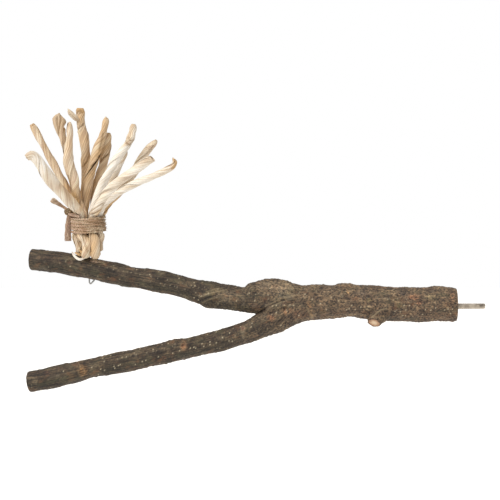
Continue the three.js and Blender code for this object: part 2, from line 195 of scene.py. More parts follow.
# The thick fold of bark that runs from the crotch up over the front of the fork.
BARK_FOLD = [
    [-157, -9, -6, 1.4], [-150, -11.5, -3, 1.9], [-140, -13.4, 2, 1.9], [-132, -13.6, 7, 1.6],
    [-127, -12, 9, 1],
]
# The saw cuts: a point on each, the way it faces and how far it reaches. The last is the twig's.
SAW_CUTS = [
    [(0, 0, 0), (1, 0, 0), 24],
    [(-345.1, 14, 37.6), (-1, 0.26, 0.04), 20],
    [(-346.1, 8.3, -62), (-1, 0.24, -0.12), 20],
    [(-67.2, -14.4, -12.2), (-0.3, -0.6, -0.74), 9],
]
# The limbs grow together in a grid of this size, and their joins are smoothed this many times.
VOXEL = 0.72
SMOOTHING = 7

rng = np.random.default_rng(29)


def smooth_line(stations, spacing):
    """Even points, radii and lengths along the smooth line through stations [x, y, z, radius]."""
    stations = np.array(stations, float)
    points, radii = stations[:, :3], stations[:, 3]
    padded = np.vstack([2 * points[0] - points[1], points, 2 * points[-1] - points[-2]])
    t = np.linspace(0, 1, 40, endpoint=False)[:, None]
    ease = t[:, 0] ** 2 * (3 - 2 * t[:, 0])
    dense, thick = [], []
    for span in range(len(points) - 1):
        before, start, end, after = padded[span:span + 4]
        d0, d1, d2 = [math.sqrt(np.linalg.norm(b - a)) for a, b in
                      ((before, start), (start, end), (end, after))]
        leave = ((start - before) / d0 - (end - before) / (d0 + d1) + (end - start) / d1) * d1
        arrive = ((end - start) / d1 - (after - start) / (d1 + d2) + (after - end) / d2) * d1
        dense.append((2 * t**3 - 3 * t**2 + 1) * start + (t**3 - 2 * t**2 + t) * leave
                     + (3 * t**2 - 2 * t**3) * end + (t**3 - t**2) * arrive)
        thick.append(radii[span] + (radii[span + 1] - radii[span]) * ease)
    dense = np.vstack([*dense, points[-1:]])
    thick = np.concatenate([*thick, radii[-1:]])
    lengths = np.concatenate([[0], np.cumsum(np.linalg.norm(np.diff(dense, axis=0), axis=1))])
    even = np.linspace(0, lengths[-1], max(2, round(lengths[-1] / spacing)) + 1)
    line = np.stack([np.interp(even, lengths, dense[:, axis]) for axis in range(3)], axis=1)
    return line, np.interp(even, lengths, thick), even


def directions(line):
    """The unit direction of a line at each of its points."""
    along = np.gradient(line, axis=0)
    return along / np.linalg.norm(along, axis=1, keepdims=True)


def facing_frames(line, facing):
    """At each point of a line, the direction nearest to `facing` that is square to it, and its side."""
    along = directions(line)
    front = np.array(facing, float) - along * (along @ np.array(facing, float))[:, None]
    front /= np.linalg.norm(front, axis=1, keepdims=True)
    return np.cross(along, front), front


def grid_faces(rows, columns, closed=True, first=0):
    """The quads of a grid of vertices, whose rows may close on themselves."""
    row, column = np.meshgrid(np.arange(rows - 1), np.arange(columns if closed else columns - 1),
                              indexing="ij")
    ahead = (column + 1) % columns
    quads = np.stack([row * columns + column, row * columns + ahead,
                      (row + 1) * columns + ahead, (row + 1) * columns + column], axis=-1)
    return (quads.reshape(-1, 4) + first).tolist()


def tube(line, radii, sides, facing, relief=None, first=0):
    """A closed round bar along a line. relief(line, degrees) is added to its radius."""
    side, front = facing_frames(line, facing)
    angle = 2 * math.pi * np.arange(sides) / sides
    size = radii[:, None] + (relief(line, np.degrees(angle)) if relief else 0)
    rings = (line[:, None] + side[:, None] * (np.sin(angle) * size)[..., None]
             + front[:, None] * (np.cos(angle) * size)[..., None])
    rows = len(line)
    vertices = np.vstack([rings.reshape(-1, 3), line[:1], line[-1:]])
    faces = [face[::-1] for face in grid_faces(rows, sides, first=first)]
    start, end = first + rows * sides, first + rows * sides + 1
    last = first + (rows - 1) * sides
    for spoke in range(sides):
        ahead = (spoke + 1) % sides
        faces.append((start, first + spoke, first + ahead))
        faces.append((end, last + ahead, last + spoke))
    return vertices, faces


def bark_relief(lumps):
    """The unevenness of a grown limb: a slow and a quick wave, and the raised places."""
    def relief(line, degrees):
        x = line[:, :1]
        rise = 0.25 * np.sin(x / 6.5 + degrees / 28) + 0.2 * np.sin(x / 3.7 - degrees / 19)
        for place, around, height, length, width in lumps:
            turn = (degrees - around + 180) % 360 - 180
            rise = rise + height * np.exp(-((x - place) / length) ** 2 - (turn / width) ** 2)
        return rise
    return relief


def ellipsoid(centre, half_sizes, tilt):
    """A closed ball of three half sizes, tilted about Y."""
    rows, sides = 17, 28
    polar = np.linspace(0.02, math.pi - 0.02, rows)[:, None]
    turn = 2 * math.pi * np.arange(sides) / sides
    ball = np.stack([np.sin(polar) * np.cos(turn), np.sin(polar) * np.sin(turn),
                     np.cos(polar) * np.ones(sides)], axis=-1).reshape(-1, 3) * half_sizes
    tilt = math.radians(tilt)
    turned = ball.copy()
    turned[:, 0] = ball[:, 0] * math.cos(tilt) + ball[:, 2] * math.sin(tilt)
    turned[:, 2] = ball[:, 2] * math.cos(tilt) - ball[:, 0] * math.sin(tilt)
    faces = [face[::-1] for face in grid_faces(rows, sides)]
    faces += [tuple(range(sides)), tuple(range((rows - 1) * sides, rows * sides))[::-1]]
    return turned + centre, faces


def join_shells(shells):
    """Puts several (vertices, faces) into one list of each."""
    vertices, faces, count = [], [], 0
    for shell_vertices, shell_faces in shells:
        vertices.append(shell_vertices)
        faces += [tuple(corner + count for corner in face) for face in shell_faces]
        count += len(shell_vertices)
    return np.vstack(vertices), faces


def new_piece(name, vertices, faces, *materials):
    """A mesh object of the given points in millimetres, smooth all over."""
    mesh = bpy.data.meshes.new(name)
    mesh.from_pydata((np.asarray(vertices) * MM).tolist(), [], faces)
    mesh.polygons.foreach_set("use_smooth", [True] * len(mesh.polygons))
    for material in materials:
        mesh.materials.append(material)
    made = bpy.data.objects.new(name, mesh)
    bpy.context.scene.collection.objects.link(made)
    return made


def store(mesh, name, values):
    """Keeps a number, a vector or a colour for each vertex of a mesh, for its material to read."""
    values = np.asarray(values, np.float32)
    width = values.shape[1] if values.ndim == 2 else 1
    kind, part = {1: ("FLOAT", "value"), 3: ("FLOAT_VECTOR", "vector"), 4: ("FLOAT_COLOR", "color")}[width]
    mesh.attributes.new(name, kind, "POINT").data.foreach_set(part, values.ravel())


def positions(mesh):
    """A mesh's vertices in millimetres."""
    places = np.empty(len(mesh.vertices) * 3)
    mesh.vertices.foreach_get("co", places)
    return places.reshape(-1, 3) / MM


def fade(value, low, high):
    """0 below low, 1 above high and smooth between them; low may be the greater."""
    share = np.clip((value - low) / (high - low), 0, 1)
    return share * share * (3 - 2 * share)


limbs = [(TRUNK, TRUNK_LUMPS, 56), (UPPER_PRONG, UPPER_LUMPS, 40), (LOWER_PRONG, LOWER_LUMPS, 40)]
shells = []
for stations, lumps, sides in limbs:
    line, radii, _ = smooth_line(stations, LIMB_STEP)
    shells.append(tube(line, radii, sides, (0, 0, 1), bark_relief(lumps)))
for stations in (TWIG_STUB, BARK_FOLD):
    line, radii, _ = smooth_line(stations, 0.8)
    shells.append(tube(line, radii, 20, (0, -1, 0)))
shells += [ellipsoid(*burl) for burl in BURLS]

rough_branch = new_piece("rough_branch", *join_shells(shells))
remesh = rough_branch.modifiers.new("grown together", "REMESH")
remesh.mode = "VOXEL"
remesh.voxel_size = VOXEL * MM
soften = rough_branch.modifiers.new("softened", "SMOOTH")
soften.factor = 0.5
soften.iterations = SMOOTHING
wood_mesh = bpy.data.meshes.new_from_object(
    rough_branch.evaluated_get(bpy.context.evaluated_depsgraph_get()))
bpy.data.objects.remove(rough_branch)

# Where each point of the bark lies on its limb: along it, and across it from the pith. The three
# limbs' places run into each other at the fork.
place = positions(wood_mesh)
x = place[:, 0]


def about_pith(stations):
    """Each point's y and z from a limb's pith, and the limb's radius beside it."""
    line, radii, _ = smooth_line(stations, LIMB_STEP)
    line, radii = line[::-1], radii[::-1]
    across = np.stack([place[:, 1] - np.interp(x, line[:, 0], line[:, 1]),
                       place[:, 2] - np.interp(x, line[:, 0], line[:, 2])], axis=1)
    return across, np.interp(x, line[:, 0], radii)


(trunk_across, trunk_girth), (upper_across, upper_girth), (lower_across, lower_girth) = [
    about_pith(stations) for stations in (TRUNK, UPPER_PRONG, LOWER_PRONG)]
upper_reach = np.linalg.norm(upper_across, axis=1) / upper_girth
lower_reach = np.linalg.norm(lower_across, axis=1) / lower_girth
in_trunk = fade(x, -152, -122)
in_lower = fade(upper_reach - lower_reach, -0.35, 0.35) * (1 - in_trunk)
in_upper = 1 - in_trunk - in_lower
shares = np.stack([in_trunk, in_upper, in_lower], axis=1)
across = sum(shares[:, i:i + 1] * part for i, part in
             enumerate((trunk_across, upper_across, lower_across)))
girth = in_trunk * trunk_girth + in_upper * upper_girth + in_lower * lower_girth
# Beyond the fork the lower prong takes its pattern from further along than the upper one beside it.
LOWER_SHIFT = 47
grain = np.column_stack([x - LOWER_SHIFT * fade(x, -172, -262) * in_lower, across])


def bark_noise(stretch, seed):
    """Smooth random heights of about -1 to 1 over the bark, with hills `stretch` mm long and wide."""
    scaled = grain / np.array(stretch) + seed * 37.3
    return np.array([noise.noise(point) for point in scaled.tolist()])


# How high each unevenness of the bark stands. On the trunk and near the fork the bark is coarse, with
# more grit and lower ridges.
SWELL_RISE = 0.26
RIDGE_RISE = 0.28
COARSE_RIDGE_LOSS = 0.1
GRIT_RISE = 0.14
COARSE_GRIT_GAIN = 0.3
KNOB_RISE = 1.1
WRINKLE_RISE = 0.45

swell = bark_noise((16, 7, 7), 1)
ridge = bark_noise((13, 1.9, 1.9), 2)
grit = bark_noise((1.7, 1.3, 1.3), 3)
knobs = np.maximum(bark_noise((4.2, 3.4, 3.4), 4) - 0.22, 0)
wrinkle = bark_noise((6, 1.3, 1.3), 5) * np.exp(-((x + 150) / 30) ** 2)
coarse = fade(x, -205, -150) * in_lower + fade(x, -240, -180) * (1 - in_lower)
rise = (SWELL_RISE * swell + (RIDGE_RISE - COARSE_RIDGE_LOSS * coarse) * ridge
        + (GRIT_RISE + COARSE_GRIT_GAIN * coarse) * grit + KNOB_RISE * knobs + WRINKLE_RISE * wrinkle)

normals = np.empty(len(wood_mesh.vertices) * 3, np.float32)
wood_mesh.vertex_normals.foreach_get("vector", normals)
normals = normals.reshape(-1, 3)
on_front = fade(-normals[:, 1], -0.1, 0.25)


def picture_place(column, row, depth=0.0):
    """x and z of the place at that y which the front view shows at a column and row."""
    reach = (VIEW_DISTANCE + depth) / VIEW_DISTANCE * PIXEL
    return VIEW_CENTRE + reach * np.array([column - PICTURE_SIZE / 2, PICTURE_SIZE / 2 - row])


def stroke(seen, marks, width):
    """1 on a stroke through its marks and 0 beyond it, for points that are seen at those x and z."""
    best = np.full(seen.shape[:-1], 1e9)
    for start, end in zip(marks, marks[1:]):
        step = end - start
        share = np.clip((seen - start) @ step / (step @ step), 0, 1)
        best = np.minimum(best, np.linalg.norm(seen - start - share[..., None] * step, axis=-1))
    return np.exp(-(best / width) ** 2)


# Marks on the front of the bark, at their columns and rows in the front view: [places, width, depth]
# of cracks, and the same of thin raised folds, which run from the crotch up under the burl, round the
# upper prong's knuckle and beside the twig.
CRACKS = [
    ([(247, 289), (253, 285), (258, 284), (263, 286.5), (270, 287)], 0.5, 0.3),
    ([(270, 285), (277, 283.5), (284, 285)], 0.45, 0.25),
    ([(260, 313), (268, 306), (277, 302.5), (287, 299.5)], 0.5, 0.35),
    ([(281, 300), (284, 299.3)], 0.7, 0.5), ([(391, 304), (392, 311), (390.5, 319)], 0.5, 0.35),
    ([(200, 301), (208, 297.6), (217, 294.6)], 0.5, 0.5),
    ([(246, 303), (249, 306), (250, 311)], 0.5, 0.4), ([(399, 293), (404, 291), (409, 292)], 0.5, 0.15),
    ([(360, 296), (364, 293), (369, 292)], 0.5, 0.15), ([(268, 322), (276, 322), (281, 320)], 0.8, 0.4),
]
THIN_FOLDS = [
    ([(266, 306), (278, 300.3), (286, 297.8), (292, 296.5), (299, 294)], 0.5, 0.3),
    ([(266, 312), (272, 306), (281, 302.5)], 0.45, 0.3),
    ([(278, 303), (287, 300), (296, 298.5)], 0.45, 0.3),
    ([(199, 297.5), (207, 294.5), (216, 292), (226, 290)], 0.45, 0.4),
    ([(202, 303), (211, 298.8), (222, 296.5)], 0.45, 0.3),
    ([(206, 292), (214, 289.5), (223, 288)], 0.4, 0.25),
    ([(368, 320), (374, 315), (380, 309.8), (386, 308.4)], 0.55, 0.5),
    ([(306, 306), (309, 312), (312, 318)], 0.6, 0.35),
    ([(247, 305), (249, 309), (250, 312)], 0.45, 0.3),
    ([(262, 282.5), (271, 284.3), (280, 282.5), (288, 284.5)], 0.45, 0.18),
    ([(76, 362), (79, 367)], 0.4, 0.3), ([(90, 259.3), (97, 261.5), (103, 264)], 0.7, 0.7),
    ([(215, 303.5), (224, 300), (233, 297.5)], 0.4, 0.2), ([(232, 291), (241, 290), (249, 287)], 0.4, 0.25),
    ([(256, 316), (262, 319.5), (270, 321)], 0.4, 0.25), ([(287, 307), (294, 304), (301, 303)], 0.4, 0.25),
]
# Marks are laid on the bark at the y where it is nearest to the viewer, spots a little behind it, and
# scars, which are near the outline, behind those.
STROKE_Y, SPOT_Y, SCAR_Y = -10, -8, -3

crack, fold, scar = np.zeros((3, len(place)))
for strokes, way, full_depth, shown in ((CRACKS, -1, 0.6, crack), (THIN_FOLDS, 1, 0.45, fold)):
    for marks, width, depth in strokes:
        marks = [picture_place(*mark, STROKE_Y) for mark in marks]
        here = stroke(place[:, ::2], marks, width) * on_front
        rise += way * depth * here
        np.maximum(shown, here * min(1, depth / full_depth), out=shown)

# Scars of shed buds and twigs: low rings round a hollow, at [column, row, half width, half height].
SCARS = [(81.5, 372, 2.3, 3.6), (183.5, 345.5, 2.2, 3.2), (68, 262, 2.4, 2.2), (243, 328.5, 1.5, 2.4)]
for column, row, half_width, half_height in SCARS:
    offset = (place[:, ::2] - picture_place(column, row, SCAR_Y)) / (half_width, half_height)
    reach = np.linalg.norm(offset, axis=1) + 0.45 * grit
    ring = np.exp(-((reach - 1) / 0.3) ** 2) * on_front
    rise += 0.4 * ring - 0.45 * np.exp(-(reach / 0.7) ** 2) * on_front
    scar = np.maximum(scar, ring)

# Pores stand up from the bark as small pale warts. They lie in rows along the limbs and scattered
# between them, and the row along the front of the trunk is the one that is seen best.
PORE_HALF_LENGTH = 0.42
PORE_HALF_WIDTH = 0.45
PORE_RISE = 0.3
CLEAR_PORES = [
    (403.5, 305.5), (408.5, 305.5), (405.5, 309.5), (394.5, 311), (400, 311.5), (402.5, 315),
    (405, 315.5), (422.5, 314), (425, 309), (430, 310), (434.5, 308), (444, 309.5), (447, 309),
    (449.5, 313.5), (452, 308.5), (351, 305.5), (349, 308.5), (355, 309), (346, 309.5), (360, 307),
    (272.5, 306), (276, 305), (284, 305), (289.5, 304.5), (293.5, 305.5), (276.5, 312.5), (299, 315),
    (280.5, 324.5), (251, 326.5), (240.5, 326.5), (252, 323), (230, 333), (198, 300), (194, 298),
    (236.5, 301), (255, 300.5), (268, 295), (270, 288.5), (289, 284), (305, 294), (338, 301),
    (331, 297), (326, 309), (320, 303), (312, 299), (133, 269), (149, 275), (68.5, 267), (91, 368),
    (126, 357.5), (135, 365), (153, 350), (192, 337.5), (210, 342), (222, 337), (232, 341), (120, 365),
    (113, 367), (104, 371), (97, 375), (142, 362), (62, 372), (84, 382), (196, 348), (168, 344),
    (89.7, 360.2), (102, 359), (103, 362), (109.5, 356.3), (112, 354.2), (122.2, 353), (132.2, 350),
    (139.6, 350), (113.9, 369), (99.9, 369.8), (117.5, 366), (172.6, 353), (188, 339), (190.2, 348.3),
    (193.8, 347), (202, 343.4), (204, 346.4), (207, 335), (210, 345), (216, 332), (223, 337.5),
    (229, 340.5), (216.6, 342.7), (136, 270.1), (158, 272), (178.4, 278.6), (193.8, 282.5),
    (194.6, 286.2), (201, 296.5), (208.5, 293.5), (249, 293.5), (146, 360.5), (158, 357), (180, 351),
]
ROWS_OF_PORES = 36
SCATTERED_PORES = 260
LIMB_RADIUS = 8
pore = np.zeros(len(place))


def raise_pore(centre, strength):
    """One wart of the bark round a vertex."""
    near = np.flatnonzero(np.abs(x - x[centre]) < 2.5)
    offset = place[near] - place[centre]
    wart = np.exp(-(offset[:, 0] / PORE_HALF_LENGTH) ** 2
                  - (offset[:, 1] ** 2 + offset[:, 2] ** 2) / PORE_HALF_WIDTH**2)
    pore[near] = np.maximum(pore[near], wart * strength)


front_bark = np.flatnonzero(on_front > 0.5)
for column, row in CLEAR_PORES:
    offset = place[front_bark, ::2] - picture_place(column, row, SPOT_Y)
    raise_pore(front_bark[np.argmin(np.linalg.norm(offset, axis=1))], 1.0)
turn_about_pith = np.arctan2(across[:, 0], across[:, 1])


def turn_from(angle):
    """How far round its limb each point of the bark lies from an angle."""
    return np.abs((turn_about_pith - angle + math.pi) % (2 * math.pi) - math.pi)


for _ in range(ROWS_OF_PORES):
    row_turn, row_start = rng.uniform(-math.pi, math.pi), rng.uniform(-345, -30)
    share = rng.choice([in_trunk, in_upper, in_lower])
    for row_x in row_start + np.cumsum(rng.uniform(2.5, 9, 9)):
        other_limb = share < 0.5
        centre = np.argmin(np.hypot(x - row_x, turn_from(row_turn) * LIMB_RADIUS) + 60 * other_limb)
        if not other_limb[centre]:
            raise_pore(centre, rng.uniform(0.2, 0.5))
for centre in rng.choice(len(place), SCATTERED_PORES, replace=False):
    raise_pore(centre, rng.uniform(0.25, 0.6))
rise += PORE_RISE * pore

# Stains of the bark's front: column, row, half width, half height in the front view, colour, cover.
STAINS = [
    (413, 297, 5.5, 2.6, "#8a5a40", 0.55), (418.5, 303, 3, 2.2, "#84573f", 0.6),
    (452, 297, 3, 4, "#8a6650", 0.55), (367, 307.5, 4.2, 2.6, "#a3947a", 0.6),
    (368.5, 300, 2.6, 1.8, "#96865f", 0.5), (403, 293, 5, 2.4, "#4e4742", 0.55),
    (362, 293, 5, 2, "#544d47", 0.5), (430, 297, 5, 3, "#7b7257", 0.5),
    (398, 306, 2, 1.6, "#8c7d3c", 0.5), (416, 311.5, 2.6, 1.9, "#a38a70", 0.6),
    (355, 298, 3, 2.4, "#8f6748", 0.5), (348, 292, 2, 2, "#a07c50", 0.4),
    (285, 311, 2, 3.4, "#956645", 0.55), (290, 310, 2.4, 2, "#936a4b", 0.45),
    (271, 318, 3.6, 3.4, "#8c6045", 0.5), (309, 305, 2.6, 4, "#957250", 0.4),
    (310, 314, 2, 4, "#94744e", 0.35), (276, 323, 3.6, 2.4, "#33261c", 0.6),
    (243, 328.5, 2, 2.6, "#94695a", 0.55), (264, 330, 9, 2, "#2f2c20", 0.5),
    (240, 308, 14, 2.6, "#3b3a2c", 0.5), (255, 306, 5, 3, "#5a4236", 0.4),
    (300, 314, 7, 3.5, "#7a523c", 0.4), (285, 295, 8, 4, "#7e7a66", 0.35),
    (183.5, 345.5, 3.4, 4.4, "#94694a", 0.85), (81.5, 372, 4.4, 5.4, "#9a7248", 0.9),
    (68, 262, 3, 2.6, "#5c3a2e", 0.75), (45, 374, 3, 2, "#6f4438", 0.6),
    (164, 358, 2.2, 1.8, "#7c4d38", 0.7), (104, 265, 3.4, 1.8, "#71503a", 0.6),
    (128, 269, 4, 1.6, "#5f4433", 0.5),
    (36, 262, 3, 9, "#5a4238", 0.45), (215, 292, 9, 4, "#75664e", 0.45),
    (150, 283, 18, 3, "#4d4335", 0.35), (330, 312, 12, 3, "#5e4a3b", 0.4),
    (440, 315, 14, 2.4, "#6a503e", 0.4), (376, 321, 5, 1.6, "#8c5a38", 0.6),
    (274, 287, 19, 6, "#9f8e78", 0.45), (227, 297, 14, 6, "#8a7b68", 0.38),
    (46, 260, 20, 11, "#2c211b", 0.68), (55, 378, 22, 9, "#2e251d", 0.5),
    (340, 302, 20, 8, "#4a3d32", 0.3), (97, 261.5, 7, 1.2, "#b8a294", 1),
]
stain_and_shade = np.zeros((len(place), 4))


def lay_stain_and_shade(colour, share):
    """Lays a thin coat of a colour, a stain or painted shade, over the coats that are there already."""
    stain_and_shade[:, :3] += (np.array(linear(colour)[:3]) - stain_and_shade[:, :3]) * share[:, None]
    stain_and_shade[:, 3] = 1 - (1 - stain_and_shade[:, 3]) * (1 - share)


# Each stain is mottled, and fades out over its rim.
mottle = 0.75 + 0.6 * bark_noise((1.6, 1.4, 1.4), 6)
for column, row, half_width, half_height, colour, cover in STAINS:
    offset = (place[:, ::2] - picture_place(column, row, SPOT_Y)) / (half_width * PIXEL, half_height * PIXEL)
    reach = np.linalg.norm(offset, axis=1)
    lay_stain_and_shade(colour, np.clip(cover * mottle * np.exp(-reach**3) * on_front, 0, 1))
# The trunk's underside is darker, as painted shade, and the lower prong is a little darker.
lay_stain_and_shade("#4a3b2f", 0.36 * in_trunk * fade(across[:, 1], 7, -8))
lay_stain_and_shade("#352718", 0.16 * in_lower * fade(x, -170, -200))
# A dark band of painted shade runs along the lower front of both prongs, and comes and goes.
shade_band_turn = np.radians(-118 + 14 * bark_noise((40, 400, 400), 8))
shade_band = np.exp(-(turn_from(shade_band_turn) / 0.4) ** 2) * fade(x, -165, -185)
shade_band *= 0.75 + 0.7 * bark_noise((18, 3, 3), 9)
lay_stain_and_shade("#2b281e", np.clip(0.7 * shade_band, 0, 1))
stain_and_shade[:, :3] /= np.maximum(stain_and_shade[:, 3:], 0.001)

# The relief is lower close to the three large saw cuts.
LOWEST_SHARE = 0.3
kept_rise = np.ones(len(place))
for (cut_x, _, _), _, _ in SAW_CUTS[:3]:
    kept_rise *= LOWEST_SHARE + (1 - LOWEST_SHARE) * fade(np.abs(x - cut_x), 0, 2.5)
place += normals * (rise * kept_rise)[:, None]
wood_mesh.vertices.foreach_set("co", (place * MM).ravel())

for name, values in [
        ("grain", grain), ("girth", girth), ("trunk_tone", fade(x, -190, -95)), ("coarse", coarse),
        ("pore", pore), ("crack", crack), ("fold", np.maximum(fold, scar * 0.35)),
        ("height", 0.5 + 0.5 * np.clip(rise / 0.9, -1, 1)), ("stain_and_shade", stain_and_shade)]:
    store(wood_mesh, name, values)

# The saw cuts, square and flat.
shape = bmesh.new()
shape.from_mesh(wood_mesh)
for point, facing, reach in SAW_CUTS:
    end = Vector(point) * MM
    beside = [face for face in shape.faces if (face.calc_center_median() - end).length < reach * MM]
    points = dict.fromkeys(vertex for face in beside for vertex in face.verts)
    sides = dict.fromkeys(edge for face in beside for edge in face.edges)
    cut = bmesh.ops.bisect_plane(shape, geom=[*points, *sides, *beside], plane_co=end, plane_no=facing,
                                 clear_outer=True)
    rim = [part for part in cut["geom_cut"] if isinstance(part, bmesh.types.BMEdge)]
    for face in bmesh.ops.edgeloop_fill(shape, edges=rim)["faces"]:
        face.material_index = 1
        face.smooth = False
bmesh.ops.recalc_face_normals(shape, faces=shape.faces)
shape.to_mesh(wood_mesh)
shape.free()

# Dry bark: matt and rough, grey-brown on the trunk and darker on the prongs, streaked along the limbs, with
# pale pores, dark cracks, rusty and mossy patches and a grey weathered bloom. The cracks' near-black colour
# is partly painted shade, and painted shade darkens the trunk's underside and the lower front of the prongs.
bark, tree, surface = new_material("dry_bark")
place_on_limb = add_node(tree, "Attribute", output="Vector", attribute_name="grain")
stain_and_shade_colour, stain_and_shade_share = [
    add_node(tree, "Attribute", output=output, attribute_name="stain_and_shade") for output in ("Color", "Alpha")]
trunk_share, coarse_share, height, fold_share, pore_share, crack_and_shade_share = [
    add_node(tree, "Attribute", output="Fac", attribute_name=name)
    for name in ("trunk_tone", "coarse", "height", "fold", "pore", "crack")]
# Blotches, streaks, grit, rust and moss: where each pattern starts, how long and wide its patches are
# in millimetres, how fine and how rough it is. Real grit is about 0.5 mm across, less than the render
# shows, and is drawn nearly three times as large.
BARK_PATTERNS = [
    [(0, 0, 0), (8, 5, 5), 6, 0.62], [(0, 0, 0), (15, 1.1, 1.1), 3, 0.55],
    [(0, 0, 0), (1.6, 1.3, 1.3), 3, 0.7], [(31, 7, 3), (13, 8, 8), 5, 0.65],
    [(-17, 23, 9), (16, 9, 9), 5, 0.6],
]
patterns = []
for start, stretch, detail, roughness in BARK_PATTERNS:
    stretched = add_node(tree, "Mapping", {
        "Vector": place_on_limb, "Location": start, "Scale": tuple(1 / length for length in stretch)})
    patterns.append(add_node(tree, "TexNoise", {
        "Vector": stretched, "Scale": 1.0, "Detail": detail, "Roughness": roughness}))
blotches, streaks, grits, rust, moss = patterns
prong_colour = add_node(tree, "ValToRGB", {"Fac": blotches}, stops=[
    (0.3, "#231c16"), (0.42, "#342a21"), (0.52, "#3f3529"), (0.62, "#4b4133"), (0.74, "#5f5443")])
trunk_colour = add_node(tree, "ValToRGB", {"Fac": blotches}, stops=[
    (0.3, "#2f2721"), (0.42, "#493c31"), (0.51, "#5b4c3d"), (0.6, "#6a5a48"), (0.72, "#7d6d57")])
streak_light = add_node(tree, "ValToRGB", {"Fac": streaks}, stops=[
    (0.37, "#625e58"), (0.5, "#bababa"), (0.63, "#fffdf8")])
grit_light = add_node(tree, "ValToRGB", {"Fac": grits}, stops=[
    (0.36, "#3f3a35"), (0.49, "#b4b4b4"), (0.62, "#fff6e4")])
streak_share = add_node(tree, "MapRange", {"Value": coarse_share, "To Min": 0.85, "To Max": 0.35})
grit_share = add_node(tree, "MapRange", {"Value": coarse_share, "To Min": 0.5, "To Max": 0.95})
rust_share = add_node(tree, "MapRange", {
    "Value": rust, "From Min": 0.56, "From Max": 0.74, "To Max": 0.5})
moss_share = add_node(tree, "MapRange", {
    "Value": moss, "From Min": 0.53, "From Max": 0.7, "To Max": 0.28})
bloom_share = add_node(tree, "MapRange", {"Value": height, "From Min": 0.58, "To Max": 0.35})
fold_cover = add_node(tree, "Math", {0: fold_share, 1: 0.5}, operation="MULTIPLY")
# Each coat lies over the ones before it. The stains' coat holds painted shade too, and the near-black coat
# of the cracks is partly painted shade.
colour = prong_colour
for coat, share, blend in [
        (trunk_colour, trunk_share, "MIX"), (stain_and_shade_colour, stain_and_shade_share, "MIX"),
        (streak_light, streak_share, "OVERLAY"), (grit_light, grit_share, "OVERLAY"),
        (linear("#7d5638"), rust_share, "MIX"), (linear("#5b5a3e"), moss_share, "MIX"),
        (linear("#8d7f68"), bloom_share, "MIX"), (linear("#8d7d60"), fold_cover, "MIX"),
        (linear("#b8aa8e"), pore_share, "MIX"), (linear("#1c1510"), crack_and_shade_share, "MIX")]:
    colour = add_node(tree, "Mix", {0: share, 6: colour, 7: coat}, data_type="RGBA", blend_type=blend)
streak_bump = add_node(tree, "Bump", {"Height": streaks, "Distance": 0.5 * MM, "Strength": 0.8})
grit_bump = add_node(tree, "Bump", {
    "Height": grits, "Distance": 0.35 * MM, "Strength": 0.9, "Normal": streak_bump})
set_inputs(surface, {"Base Color": colour, "Roughness": 0.78, "Normal": grit_bump})

# Sawn end grain: pale dry wood with growth rings and the saw's strokes, which are about 0.4 mm wide and
# 3 mm long, within the dark rim of the bark. The twig's wood is paler, and the bark round it has torn
# ragged. Real rings lie about 1 mm apart, and are drawn a little wider so that they show.
RING_SPACING = 1.6
TWIG_HEART = (-67.4, -13.5, -12.9)
TWIG_WOOD_RADIUS = 4.9
TWIG_RAGGEDNESS = 3
end_grain, tree, surface = new_material("sawn_end_grain")
place_on_limb = add_node(tree, "Attribute", output="Vector", attribute_name="grain")
girth_here = add_node(tree, "Attribute", output="Fac", attribute_name="girth")
on_cut = add_node(tree, "Mapping", {"Vector": place_on_limb, "Scale": (0.0, 1.0, 1.0)})
from_pith = add_node(tree, "VectorMath", {0: on_cut}, operation="LENGTH")
wobble = add_node(tree, "TexNoise", {"Vector": on_cut, "Scale": 0.16})
wobbly_reach = add_node(tree, "Math", {0: from_pith, 1: wobble}, operation="ADD")
ring_turn = add_node(tree, "Math", {0: wobbly_reach, 1: 2 * math.pi / RING_SPACING}, operation="MULTIPLY")
ring = add_node(tree, "Math", {0: ring_turn}, operation="SINE")
ring_colour = add_node(tree, "ValToRGB", {"Fac": ring}, stops=[
    (0.0, "#bfa27a"), (0.6, "#b4946a"), (0.95, "#96744c")])
sawn_along = add_node(tree, "Mapping", {"Vector": place_on_limb, "Scale": (0.0, 2.4, 0.35)})
flecks = add_node(tree, "TexNoise", {"Vector": sawn_along, "Scale": 1.0, "Detail": 5.0})
share_of_girth = add_node(tree, "Math", {0: from_pith, 1: girth_here}, operation="DIVIDE")
rim_share = add_node(tree, "MapRange", {"Value": share_of_girth, "From Min": 0.88, "From Max": 0.93})
spot = add_node(tree, "TexCoord", output="Object")
from_heart = add_node(tree, "VectorMath", {
    0: spot, 1: tuple(axis * MM for axis in TWIG_HEART)}, operation="DISTANCE")
torn = add_node(tree, "TexNoise", {"Vector": spot, "Scale": 700.0, "Detail": 3.0})
torn_reach = add_node(tree, "Math", {
    0: torn, 1: TWIG_RAGGEDNESS * MM, 2: from_heart}, operation="MULTIPLY_ADD")
twig_place = add_node(tree, "MapRange", {
    "Value": torn_reach, "From Min": 1.5 * MM, "From Max": (TWIG_WOOD_RADIUS + 1.5) * MM})
twig_colour = add_node(tree, "ValToRGB", {"Fac": twig_place}, stops=[
    (0.0, "#cdb99f"), (0.35, "#c4a98c"), (0.7, "#a07c60"), (1.0, "#664c3a")])
twig_share = add_node(tree, "MapRange", {
    "Value": torn_reach, "From Min": (TWIG_WOOD_RADIUS + 1.6) * MM,
    "From Max": (TWIG_WOOD_RADIUS + 1.1) * MM})
colour = ring_colour
for coat, share, blend in [(flecks, 0.45, "OVERLAY"), (linear("#4a3a2c"), rim_share, "MIX"),
                           (twig_colour, twig_share, "MIX")]:
    colour = add_node(tree, "Mix", {0: share, 6: colour, 7: coat}, data_type="RGBA", blend_type=blend)
saw_bump = add_node(tree, "Bump", {"Height": flecks, "Distance": 0.3 * MM, "Strength": 0.6})
